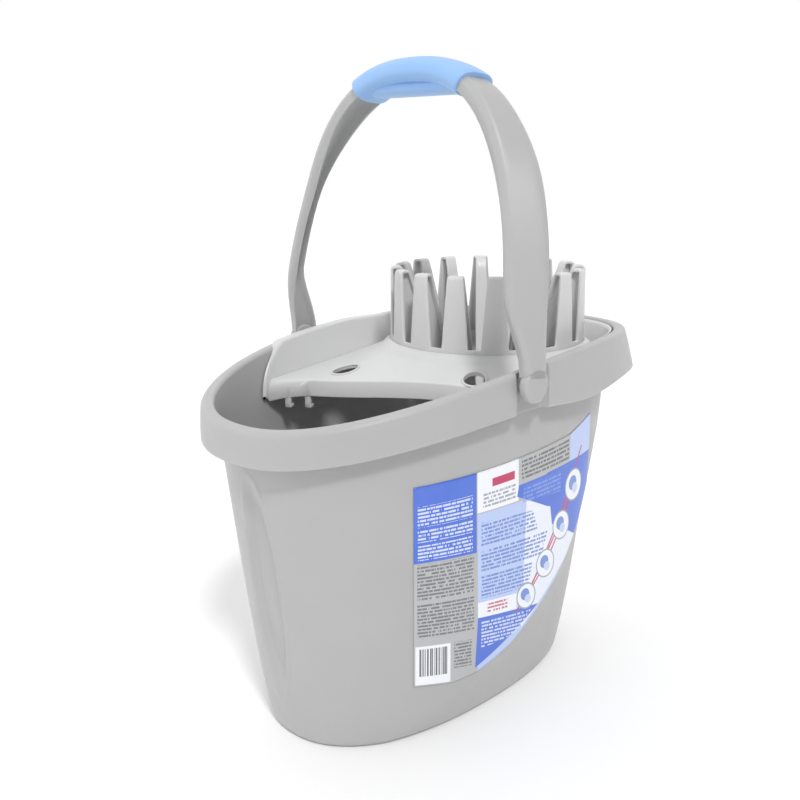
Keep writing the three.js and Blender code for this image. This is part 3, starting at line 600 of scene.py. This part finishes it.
gloss = add_node(tree, "MapRange", {}, {
    "Value": clouds.outputs["Fac"], "To Min": 0.24, "To Max": 0.38})
surface = add_node(tree, "BsdfPrincipled", {}, {
    "Base Color": worn, "Roughness": gloss.outputs[0], "IOR": 1.49, "Normal": bump.outputs[0]})
add_node(tree, "OutputMaterial", {}, {"Surface": surface.outputs[0]})
label = make_object(bm, "printed_label_film", label_film, 30)
film = label.modifiers.new("film", "SOLIDIFY")
film.thickness = FILM_THICKNESS * MM
film.offset = -1
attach(label, "bucket")
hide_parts("side_label")

# ---- Wringer tray ----
# The insert's tray, moulded in a paler polypropylene. Its floor climbs like a bell to the crown, its
# side wall hugs the tub and folds over the rim, and it ends in a slanting front band with two hooks.
CROWN_X, CROWN_RADIUS = 77.9, 77.5
SHEET = 2.2
SEAT_GAP = 0.35
TRAY_CLEARANCE = 0.8
BELL_LOW, BELL_RISE, BELL_RUN = 238.0, 26.0, 33.5
FRONT_X, FRONT_BULGE, FRONT_HALF_WIDTH, FRONT_SKEW = -31.0, 5.0, 90.0, 0.36
BAND_DROP, BAND_DROP_CORNER = 13.0, 3.0
LIP_REACH, LIP_GAP = 5.2, 0.5
TRAY_LEVEL = 236.0
SKIN_INSET = 10.5
LIP_FADE, LIP_FALL, FOLD_HEIGHT = 12.0, 4.5, 7.0
WING_FRONT, WING_BACK = -80.5, -25.0
WING_LOW, WING_RISE, WING_POWER, WING_FOOT_RISE = 228.0, 46.5, 0.62, 4.8
WING_FOOT, WING_CORNER = 223.8, 6.5
NEAR_WING_SHIFT = 66.0
LIP_END_FAR, LIP_END_NEAR = 100.0, 6.0
FRONT_SWEEP, FRONT_SWEEP_FROM, FRONT_SWEEP_TO = 13.5, 62.0, 92.0
EDGE_ROUND, CORNER_ROUND = 1.2, 10.0
CORNER_FROM, CORNER_TO = 63.0, 67.0
HOLES, HOLE_CUT = ((-28.0, 53.0, 10.0), (-3.0, -58.0, 8.0)), 50.0
HOOKS = (78.0, 66.0)
WRINGER_GREY, WRINGER_SHADE = "#d9d9d9", "#d4d4d4"


def bell(x, y):
    """Height of the tray's floor: a bell round the crown, with a low step at the crown's foot."""
    out = max(0.0, math.hypot(x - CROWN_X, y) - CROWN_RADIUS)
    return BELL_LOW + BELL_RISE * math.exp(-out / BELL_RUN) + 1.2 * (1 - step(out, 5.0, 7.0))


def front_edge(y):
    sweep = FRONT_SWEEP * step(y, FRONT_SWEEP_FROM, FRONT_SWEEP_TO)
    return FRONT_X - FRONT_SKEW * y - FRONT_BULGE * (1 - (y / FRONT_HALF_WIDTH) ** 2) - sweep


def tub_edge(x, y, inset):
    """Below 1 inside the tub's wall at the tray's height, drawn in by some distance."""
    share = (TRAY_LEVEL / RIM_HEIGHT) ** WALL_CURVE
    length = BASE_LENGTH + (TOP_LENGTH - BASE_LENGTH) * share - WALL - inset
    width = BASE_WIDTH + (TOP_WIDTH - BASE_WIDTH) * share - WALL - inset
    return abs((x - TOP_SHIFT) / length) ** OVAL_POWER + abs(y / width) ** OVAL_POWER


def tray_reach(turn):
    """Distance from the crown's axis to the tray's edge, and whether that edge is the front one."""
    low, high = CROWN_RADIUS, 200.0
    while high - low > 0.01:
        middle = (low + high) / 2
        x, y = CROWN_X + middle * math.cos(turn), middle * math.sin(turn)
        inside = x > front_edge(y) and tub_edge(x, y, TRAY_CLEARANCE + 0.4) < 1
        low, high = (middle, high) if inside else (low, middle)
    x, y = CROWN_X + low * math.cos(turn), low * math.sin(turn)
    return low, x < front_edge(y) + 0.5


def floor_strip(share, drop, inset):
    """A ring of the tray's floor, or of the band under its front edge, which is rounded over."""
    start = CROWN_RADIUS + SEAT_GAP

    def place(column):
        turn, reach, front = column
        end = max(reach, start + 0.5)
        radius = start + max(0, end - SKIN_INSET - start) * share
        if share == 1 and end - inset > start:
            radius = end - inset
        x, y = CROWN_X + radius * math.cos(turn), radius * math.sin(turn)
        if not front:
            return Vector((x, y, bell(x, y) - min(drop, SHEET)))
        round_off = EDGE_ROUND + (CORNER_ROUND - EDGE_ROUND) * step(y, CORNER_FROM, CORNER_TO)
        near_edge = max(0.0, round_off - (end - radius))
        fall = round_off - math.sqrt(max(0.0, round_off ** 2 - near_edge ** 2))
        hang = BAND_DROP + BAND_DROP_CORNER * step(y, 76, 88)
        lower = max(fall + min(drop, SHEET), drop / BAND_DROP * hang)
        return Vector((x, y, bell(x, y) - min(hang, lower)))
    return place


tray_columns = [(t, *tray_reach(t)) for t in spread(0, 2 * math.pi, 240)]
shares = [(i / 14) ** 1.2 for i in range(14)]
insets = (10.0, 8.0, 6.2, 4.6, 3.2, 2.2, 1.4, 0.8, 0.3, 0.1)
rows = [floor_strip(share, 0, 0) for share in shares]
rows += [floor_strip(1, 0, inset) for inset in insets]
rows += [floor_strip(1, BAND_DROP - 0.6, 0), floor_strip(1, BAND_DROP, 0.6)]
rows += [floor_strip(1, BAND_DROP, SHEET)]
rows += [floor_strip(1, SHEET, inset) for inset in (2.3, 4.6, 8.0)]
rows += [floor_strip(share, SHEET, 0) for share in reversed(shares)]
rows.append(rows[0])
bm = net(rows, tray_columns)
bmesh.ops.recalc_face_normals(bm, faces=bm.faces)


def cut_holes(bm, places, low, high):
    """Cuts round upright holes through a closed mesh."""
    mesh = bpy.data.meshes.new("tray_blank")
    bm.to_mesh(mesh)
    bm.free()
    blank = bpy.data.objects.new("tray_blank", mesh)
    cutter_bm = bmesh.new()
    for x, y, radius in places:
        bmesh.ops.create_cone(cutter_bm, cap_ends=True, segments=48, radius1=radius,
                              radius2=radius, depth=high - low,
                              matrix=Matrix.Translation((x, y, (low + high) / 2)))
    cutter_mesh = bpy.data.meshes.new("tray_cutter")
    cutter_bm.to_mesh(cutter_mesh)
    cutter_bm.free()
    cutter = bpy.data.objects.new("tray_cutter", cutter_mesh)
    for thing in (blank, cutter):
        bpy.context.scene.collection.objects.link(thing)
    cut = blank.modifiers.new("holes", "BOOLEAN")
    cut.operation = "DIFFERENCE"
    cut.solver = "EXACT"
    cut.object = cutter
    result = bmesh.new()
    result.from_object(blank, bpy.context.evaluated_depsgraph_get())
    for thing in (blank, cutter):
        bpy.data.objects.remove(thing)
    return result


bm = cut_holes(bm, HOLES, BELL_LOW - HOLE_CUT, BELL_LOW + HOLE_CUT)


def wing_top(x, near):
    """Height of the side wall's edge, which sweeps up from the wing's tip to the folded lip."""
    shift = NEAR_WING_SHIFT if near else 0.0
    along = min(1.0, max(0.0, (WING_BACK + shift - x) / (WING_BACK - WING_FRONT)))
    return WING_LOW + WING_RISE * (1 - along * along) ** WING_POWER


def side_section(turn):
    """The side wall's closed outline at a turn: up the inside, over the lip, down the outside."""
    near = turn < 0
    face = collar_place(turn, -TRAY_CLEARANCE, 0)
    low = wall_row(TRAY_LEVEL, -WALL - TRAY_CLEARANCE)(turn)
    crest = face.z + LIP_GAP + SHEET
    bottom, top = 220.0, crest + 20
    while top - bottom > 0.01:
        middle_z = (bottom + top) / 2
        x = low.x + (face.x - low.x) * (middle_z - TRAY_LEVEL) / (face.z - TRAY_LEVEL)
        bottom, top = (middle_z, top) if wing_top(x, near) > middle_z else (bottom, middle_z)
    lip_end = LIP_END_NEAR if near else LIP_END_FAR
    lip = 1 - step(face.x, lip_end, lip_end + LIP_FADE)
    crest -= LIP_FALL * (1 - lip)
    top = min(crest, top)
    folded = step(top, crest - FOLD_HEIGHT, crest)
    reach = (LIP_REACH + TRAY_CLEARANCE) * folded * lip
    shift = NEAR_WING_SHIFT if near else 0.0
    corner = min(1.0, max(0.0, (WING_FRONT + shift + WING_CORNER - low.x) / WING_CORNER))
    foot = WING_FOOT + WING_FOOT_RISE * (1 - math.sqrt(1 - corner * corner))
    foot = min(foot, top - 1.0)
    middle = Vector((CROWN_X * 0.3, 0, 0))

    def at(z, inward):
        share = (z - TRAY_LEVEL) / (face.z - TRAY_LEVEL)
        spot = low.lerp(face, max(-0.5, min(1.0, share)))
        inner = Vector((middle.x - spot.x, middle.y - spot.y, 0)).normalized()
        return Vector((spot.x, spot.y, z)) + inner * inward

    edge = top - SHEET * 0.5
    points = [at(foot, SHEET), at((foot + top) / 2, SHEET), at(edge - 1.5, SHEET)]
    points += [at(edge, SHEET * 0.9)]
    points += [at(top - 0.3, SHEET * 0.5), at(top, SHEET * 0.2)]
    points += [at(top, -reach * 0.6 - 0.05), at(top - 0.3, -reach * 0.95 - 0.1)]
    points += [at(top - 1.0, -reach - 0.1), at(top - SHEET, -reach)]
    points += [at(top - SHEET, -reach * 0.5), at(top - SHEET - 0.2, 0)]
    points += [at((foot + top) / 2, 0), at(foot, 0)]
    return points


far_start = turn_at(WING_FRONT - 3.5)
near_start = turn_at(WING_FRONT + NEAR_WING_SHIFT - 1.0)
far_round, near_round = turn_at(WING_FRONT + 14), turn_at(WING_FRONT + NEAR_WING_SHIFT + 14)
side_turns = spread(far_start, far_round, 24) + spread(far_round, -near_round, 130)
side_turns += spread(-near_round, -near_start, 24) + [-near_start]
sections = [side_section(turn) for turn in side_turns]
columns = list(range(len(sections[0])))


def section_row(points):
    return lambda k: points[k].copy()


side_bm = net([section_row(points) for points in sections], columns)
bmesh.ops.holes_fill(side_bm, edges=[e for e in side_bm.edges if e.is_boundary])
bmesh.ops.recalc_face_normals(side_bm, faces=side_bm.faces)


def join(bm, other):
    """Adds another bmesh's faces to the first one."""
    mesh = bpy.data.meshes.new("joined")
    other.to_mesh(mesh)
    other.free()
    bm.from_mesh(mesh)
    bpy.data.meshes.remove(mesh)


join(bm, side_bm)


def rounded_box(size, place, radius, turn):
    """A box with bevelled edges, in mm, turned about its own upright axis."""
    box = bmesh.new()
    bmesh.ops.create_cube(box, size=1)
    bmesh.ops.scale(box, verts=box.verts, vec=size)
    bmesh.ops.bevel(box, geom=box.edges, offset=radius, segments=3, affect="EDGES",
                    profile=0.5, material=-1)
    bmesh.ops.rotate(box, verts=box.verts, cent=(0, 0, 0), matrix=Matrix.Rotation(turn, 3, "Z"))
    bmesh.ops.translate(box, verts=box.verts, vec=place)
    return box


for y in HOOKS:
    x = front_edge(y) + 2.6
    join(bm, rounded_box((3.2, 5.0, 16.0), (x, y, 226.5), 0.8, math.atan(FRONT_SKEW)))
    join(bm, rounded_box((5.4, 5.0, 3.0), (x + 1.2, y, 220.0), 0.8, math.atan(FRONT_SKEW)))
for x, y, radius in HOLES:
    ring = bmesh.new()
    section = bmesh.ops.create_circle(ring, segments=12, radius=0.9)
    bmesh.ops.rotate(ring, verts=ring.verts, cent=(0, 0, 0), matrix=ACROSS)
    bmesh.ops.translate(ring, verts=ring.verts, vec=(radius + 0.7, 0, 0))
    bmesh.ops.spin(ring, geom=ring.verts[:] + ring.edges[:], cent=(0, 0, 0), axis=(0, 0, 1),
                   angle=2 * math.pi, steps=48, use_merge=True)
    bmesh.ops.translate(ring, verts=ring.verts, vec=(x, y, 0))
    for vert in ring.verts:
        vert.co.z += bell(vert.co.x, vert.co.y) + 0.3
    bmesh.ops.recalc_face_normals(ring, faces=ring.faces)
    join(bm, ring)
bm.transform(TO_ROW_FRAME)
wringer_plastic = moulded_plastic("polypropylene_moulded_pale", WRINGER_GREY, WRINGER_SHADE, 0.36, 0.25)
tray = make_object(bm, "wringer_insert_tray", wringer_plastic, 38)
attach(tray, "wringer")
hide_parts("wringer_tray")

# ---- Wringer basket ----
# The crown of sixteen squeezing fingers. Each finger is a narrow arch: an upright outer plate, a
# rounded top, and a rib that leans in and runs down the cone to the drained throat.
CROWN_TOP, CROWN_FOOT, FINGERS = 322.0, 256.0, 16
SLOT_FLOOR, SLOT_LOW, SLOT_HIGH = 268.0, 9.5, 18.0
CONE_TOP_RADIUS, THROAT_RADIUS, THROAT = 68.0, 32.0, 206.0
CONE_SLOT_FLOOR, CONE_SLOT = 222.0, 4.0
FINGER_COLUMNS = 4
TOP_ROUND, PLATE_LEAN = 2.6, 0.4


def crown_profile():
    """Rows of the sheet's outer face, from the outer foot over the top and down to the middle."""
    rows = [(CROWN_RADIUS, z) for z in (CROWN_FOOT, CROWN_FOOT + 5.0)]
    rows += [(CROWN_RADIUS, SLOT_FLOOR + 0.2)]
    plate = CROWN_TOP - TOP_ROUND - SLOT_FLOOR
    rows += [(CROWN_RADIUS - PLATE_LEAN * i / 6, SLOT_FLOOR + plate * i / 6) for i in range(1, 7)]
    for i in (1, 2, 3):
        turn = math.pi / 2 * i / 3
        rows.append((CROWN_RADIUS - PLATE_LEAN - TOP_ROUND * (1 - math.cos(turn)),
                     CROWN_TOP - TOP_ROUND * (1 - math.sin(turn))))
    rows += [(CONE_TOP_RADIUS + 2.0, CROWN_TOP), (CONE_TOP_RADIUS, CROWN_TOP - 1.4)]
    for i in range(1, 13):
        z = CROWN_TOP - 3 + (CONE_SLOT_FLOOR - CROWN_TOP + 3) * i / 12
        share = (z - THROAT) / (CROWN_TOP - THROAT)
        rows.append((THROAT_RADIUS + (CONE_TOP_RADIUS - THROAT_RADIUS) * share, z))
    rows += [(THROAT_RADIUS + 2.4, THROAT + 7), (THROAT_RADIUS + 0.4, THROAT + 1.2)]
    return rows + [(radius, THROAT) for radius in (THROAT_RADIUS - 1.2, 26.0, 14.0, 0.0)]


def slot_width(z):
    """Width of the gap between two fingers at a height."""
    if z >= SLOT_FLOOR:
        return SLOT_LOW + (SLOT_HIGH - SLOT_LOW) * (z - SLOT_FLOOR) / (CROWN_TOP - SLOT_FLOOR)
    climb = max(0.0, z - CONE_SLOT_FLOOR) / (SLOT_FLOOR - CONE_SLOT_FLOOR)
    return CONE_SLOT + (SLOT_LOW - CONE_SLOT) * climb


def crown_row(radius, z):
    """A ring of the crown: within each finger the columns spread from slot to slot."""
    def place(column):
        finger, share = column
        pitch = 2 * math.pi / FINGERS
        half = pitch / 2 - (slot_width(z) / 2 / radius if radius > THROAT_RADIUS else 0.06)
        turn = pitch * finger + half * share
        return Vector((CROWN_X + radius * math.cos(turn), radius * math.sin(turn), z))
    return place


crown_columns = [(finger, -1 + 2 * k / FINGER_COLUMNS)
                 for finger in range(FINGERS) for k in range(FINGER_COLUMNS + 1)]
bm = net([crown_row(radius, z) for radius, z in crown_profile()], crown_columns)


def in_slot(face):
    """True for a face between two fingers, and for a drain in the throat's floor."""
    middle = face.calc_center_median()
    radius = math.hypot(middle.x - CROWN_X, middle.y)
    turn = math.atan2(middle.y, middle.x - CROWN_X) / (2 * math.pi / FINGERS)
    off_finger = abs(turn - round(turn))
    if radius < THROAT_RADIUS:
        return 14.5 < radius < 25 and off_finger < 0.14
    half = 0.5 - slot_width(middle.z) / 2 / radius / (2 * math.pi / FINGERS)
    on_plate = radius > CROWN_RADIUS - 0.45 - TOP_ROUND
    return middle.z > (SLOT_FLOOR if on_plate else CONE_SLOT_FLOOR) and off_finger > half


bmesh.ops.recalc_face_normals(bm, faces=bm.faces)
bmesh.ops.delete(bm, geom=[face for face in bm.faces if in_slot(face)], context="FACES")
bm.transform(TO_ROW_FRAME)
basket = make_object(bm, "wringer_insert_crown", wringer_plastic, 38)
wall = basket.modifiers.new("sheet", "SOLIDIFY")
wall.thickness = SHEET * MM
wall.offset = -1
edge = basket.modifiers.new("soft_edges", "BEVEL")
edge.width = 0.5 * MM
edge.segments = 2
edge.limit_method = "ANGLE"
edge.angle_limit = math.radians(50)
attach(basket, "wringer")
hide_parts("wringer_basket")

# Each finger's two faces are tied by an upright web, moulded with them.
WEB = 1.8
bm = bmesh.new()
for finger in range(FINGERS):
    web = bmesh.ops.create_cube(bm, size=1)["verts"]
    for vert in web:
        z = CROWN_TOP - 1.2 if vert.co.z > 0 else SLOT_FLOOR - 3
        share = (z - THROAT) / (CROWN_TOP - THROAT)
        cone = THROAT_RADIUS + (CONE_TOP_RADIUS - THROAT_RADIUS) * share + 1.0
        vert.co = (CROWN_RADIUS - 1.0 if vert.co.x > 0 else cone, vert.co.y * WEB, z)
    turn = Matrix.Rotation(2 * math.pi * finger / FINGERS, 3, "Z")
    bmesh.ops.rotate(bm, verts=web, cent=(0, 0, 0), matrix=turn)
    bmesh.ops.translate(bm, verts=web, vec=(CROWN_X, 0, 0))
bmesh.ops.recalc_face_normals(bm, faces=bm.faces)
bm.transform(TO_ROW_FRAME)
webs = make_object(bm, "wringer_finger_webs", wringer_plastic, 38)
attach(webs, "wringer")

# ---- Carry handle ----
# A wide arch in the bucket's grey plastic, hollowed on its inner side to save material. It turns on
# the collar's studs, its legs are twisted a little, and its ends are round bosses in the pockets.
BOSS_RADIUS, BOSS_INNER, HUB_RADIUS, HUB_INNER = 12.2, 116.6, 7.5, 110.8
ARCH_HALF_WIDTH, ARCH_HEIGHT, ARCH_POWER, ARCH_START = 119.8, 204.6, 2.41, 5.0
LEAN, BOW, BOW_HEIGHT = math.radians(9.5), -17.0, 60.0
ROOT_WIDTH, ROOT_RUN, LEG_WIDTH, LEG_DEPTH = 22.0, 75.0, 29.6, 8.0
TOP_BAND_WIDTH, TOP_BAND_DEPTH = 29.0, 11.0
TWIST_FROM, TWIST_TO = 10.0, 60.0
LEG_TWIST, TOP_TWIST = math.radians(40), math.radians(3.5)
# Half of the band's section, in shares of width and depth: outer face and chamfer, side, lip, channel.
BAND_HALF = ((0.0, 0.5), (0.2, 0.5), (0.33, 0.48), (0.37, 0.45), (0.41, 0.37), (0.46, 0.24),
             (0.49, 0.14), (0.5, 0.02), (0.5, -0.2), (0.5, -0.42), (0.49, -0.49), (0.46, -0.5),
             (0.43, -0.49), (0.42, -0.42), (0.4, -0.2), (0.37, 0.05), (0.33, 0.12), (0.2, 0.14),
             (0.0, 0.14))
ARCH_STEPS = 90


def arch_at(share):
    """Place across, height and outward direction of the arch, a share of the way round."""
    start = math.asin((ARCH_START / ARCH_HEIGHT) ** (ARCH_POWER / 2))
    turn = start + (math.pi - 2 * start) * share
    power = 2 / ARCH_POWER
    c, s = math.cos(turn), math.sin(turn)
    out = Vector((-signed_power(c, 2 - power) / ARCH_HALF_WIDTH, s ** (2 - power) / ARCH_HEIGHT))
    return -signed_power(c, power) * ARCH_HALF_WIDTH, s ** power * ARCH_HEIGHT, out.normalized()


def arch_twist(height):
    top = step(height / ARCH_HEIGHT, 0.55, 1)
    return step(height, TWIST_FROM, TWIST_TO) * (LEG_TWIST + (TOP_TWIST - LEG_TWIST) * top)


def on_arch(share, u, v):
    """A point of the arch: u across its width and v outwards, in mm, turned about the pivot."""
    y, height, out = arch_at(share)
    twist = arch_twist(height)
    across = u * math.cos(twist) - v * math.sin(twist)
    outward = u * math.sin(twist) + v * math.cos(twist)
    bowed = across + BOW * step(height, 0, BOW_HEIGHT)
    spot = Vector((bowed, y + out.x * outward, height + out.y * outward))
    return Matrix.Rotation(LEAN, 3, "Y") @ spot + Vector((PIVOT_X, 0, PIVOT_Z))


def band_row(share):
    _, height, _ = arch_at(share)
    growth = step(height / ARCH_HEIGHT, 0.45, 0.95)
    width = LEG_WIDTH + (TOP_BAND_WIDTH - LEG_WIDTH) * growth
    width = ROOT_WIDTH + (width - ROOT_WIDTH) * step(height, 0, ROOT_RUN)
    depth = LEG_DEPTH + (TOP_BAND_DEPTH - LEG_DEPTH) * growth
    return lambda uv: on_arch(share, uv[0] * width, uv[1] * depth)


mirrored = [(-u, v) for u, v in reversed(BAND_HALF[1:-1])]
bm = net([band_row(i / ARCH_STEPS) for i in range(ARCH_STEPS + 1)], list(BAND_HALF) + mirrored)
bmesh.ops.holes_fill(bm, edges=[e for e in bm.edges if e.is_boundary])
bmesh.ops.recalc_face_normals(bm, faces=bm.faces)
# Radius, inner face, outer face and edge round of the boss, and of the hub behind it.
BOSS = (BOSS_RADIUS, BOSS_INNER, ARCH_HALF_WIDTH + LEG_DEPTH / 2, 2.4)
HUB = (HUB_RADIUS, HUB_INNER, BOSS_INNER + 2, 0.6)
for side in (-1, 1):
    for radius, inner, outer, soft in (BOSS, HUB):
        boss = bmesh.new()
        bmesh.ops.create_cone(boss, cap_ends=True, segments=64, radius1=radius, radius2=radius,
                              depth=outer - inner)
        rims = [e for e in boss.edges if abs(e.calc_face_angle(0)) > 1]
        bmesh.ops.bevel(boss, geom=rims, offset=soft, segments=5, affect="EDGES", profile=0.5,
                        material=-1)
        bmesh.ops.rotate(boss, verts=boss.verts, cent=(0, 0, 0), matrix=ACROSS)
        bmesh.ops.translate(boss, verts=boss.verts,
                            vec=(PIVOT_X, side * (outer + inner) / 2, PIVOT_Z))
        join(bm, boss)
bm.transform(TO_ROW_FRAME)
handle = make_object(bm, "carry_handle_arch", bucket_plastic, 40)
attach(handle, "handle")
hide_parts("carry_handle")

# ---- Grip ----
# A sleeve of soft light blue rubber, moulded over the top of the handle and cut off square.
GRIP_HALF_LENGTH, GRIP_WIDTH, GRIP_DEPTH, GRIP_POWER = 52.0, 35.0, 19.0, 2.6
GRIP_BLUE, GRIP_SHADE = "#9cc3f2", "#8fbbf0"
GRIP_STEPS, GRIP_NIP = 40, 0.004


def share_at(y):
    """The share of the way round at which the arch reaches y."""
    low, high = 0.0, 1.0
    while high - low > 1e-6:
        middle = (low + high) / 2
        low, high = (middle, high) if arch_at(middle)[0] < y else (low, middle)
    return low


def grip_row(share, size):
    def place(turn):
        u = signed_power(math.cos(turn), 2 / GRIP_POWER) * GRIP_WIDTH / 2 * size
        v = signed_power(math.sin(turn), 2 / GRIP_POWER) * GRIP_DEPTH / 2 * size
        return on_arch(share, u, v)
    return place


first = share_at(-GRIP_HALF_LENGTH)
last = 1 - first
length = last - first - 2 * GRIP_NIP
ends = ((0.2, 0.6), (0.0, 0.94), (0.5, 0.98))
rows = [grip_row(first + GRIP_NIP * along, size) for along, size in ends]
rows += [grip_row(first + GRIP_NIP + length * i / GRIP_STEPS, 1) for i in range(GRIP_STEPS + 1)]
rows += [grip_row(last - GRIP_NIP * along, size) for along, size in reversed(ends)]
rows.append(rows[0])
bm = net(rows, spread(0, 2 * math.pi, 56))
bmesh.ops.recalc_face_normals(bm, faces=bm.faces)
bm.transform(TO_ROW_FRAME)


def soft_rubber(name, colour, shade):
    """Overmoulded thermoplastic rubber: matt, with a peach-skin grain and slow uneven tone.

    The grain is drawn at 0.8 mm, coarser than the real one, so that it shows.
    """
    tone_size, grain_size = 30 * MM, 0.8 * MM
    material, tree = new_material(name)
    place = add_node(tree, "TexCoord", {}, {}).outputs["Object"]
    tone = add_node(tree, "TexNoise", {}, {"Vector": place, "Scale": 1 / tone_size, "Detail": 2.0})
    skin = add_node(tree, "TexNoise", {}, {"Vector": place, "Scale": 1 / grain_size, "Detail": 3.0})
    mixed = add_node(tree, "Mix", {"data_type": "RGBA"},
                     {"Factor": tone.outputs["Fac"], 6: linear(colour), 7: linear(shade)})
    bump = add_node(tree, "Bump", {}, {
        "Height": skin.outputs["Fac"], "Strength": 0.25, "Distance": 0.12 * MM})
    surface = add_node(tree, "BsdfPrincipled", {}, {
        "Base Color": mixed.outputs[2], "Roughness": 0.62, "IOR": 1.5, "Normal": bump.outputs[0],
        "Sheen Weight": 0.25, "Sheen Roughness": 0.5,
    })
    add_node(tree, "OutputMaterial", {}, {"Surface": surface.outputs[0]})
    return material


grip_rubber = soft_rubber("thermoplastic_rubber_overmoulded_blue", GRIP_BLUE, GRIP_SHADE)
grip = make_object(bm, "handle_soft_grip", grip_rubber, 50)
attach(grip, "handle")
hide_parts("handle_grip")
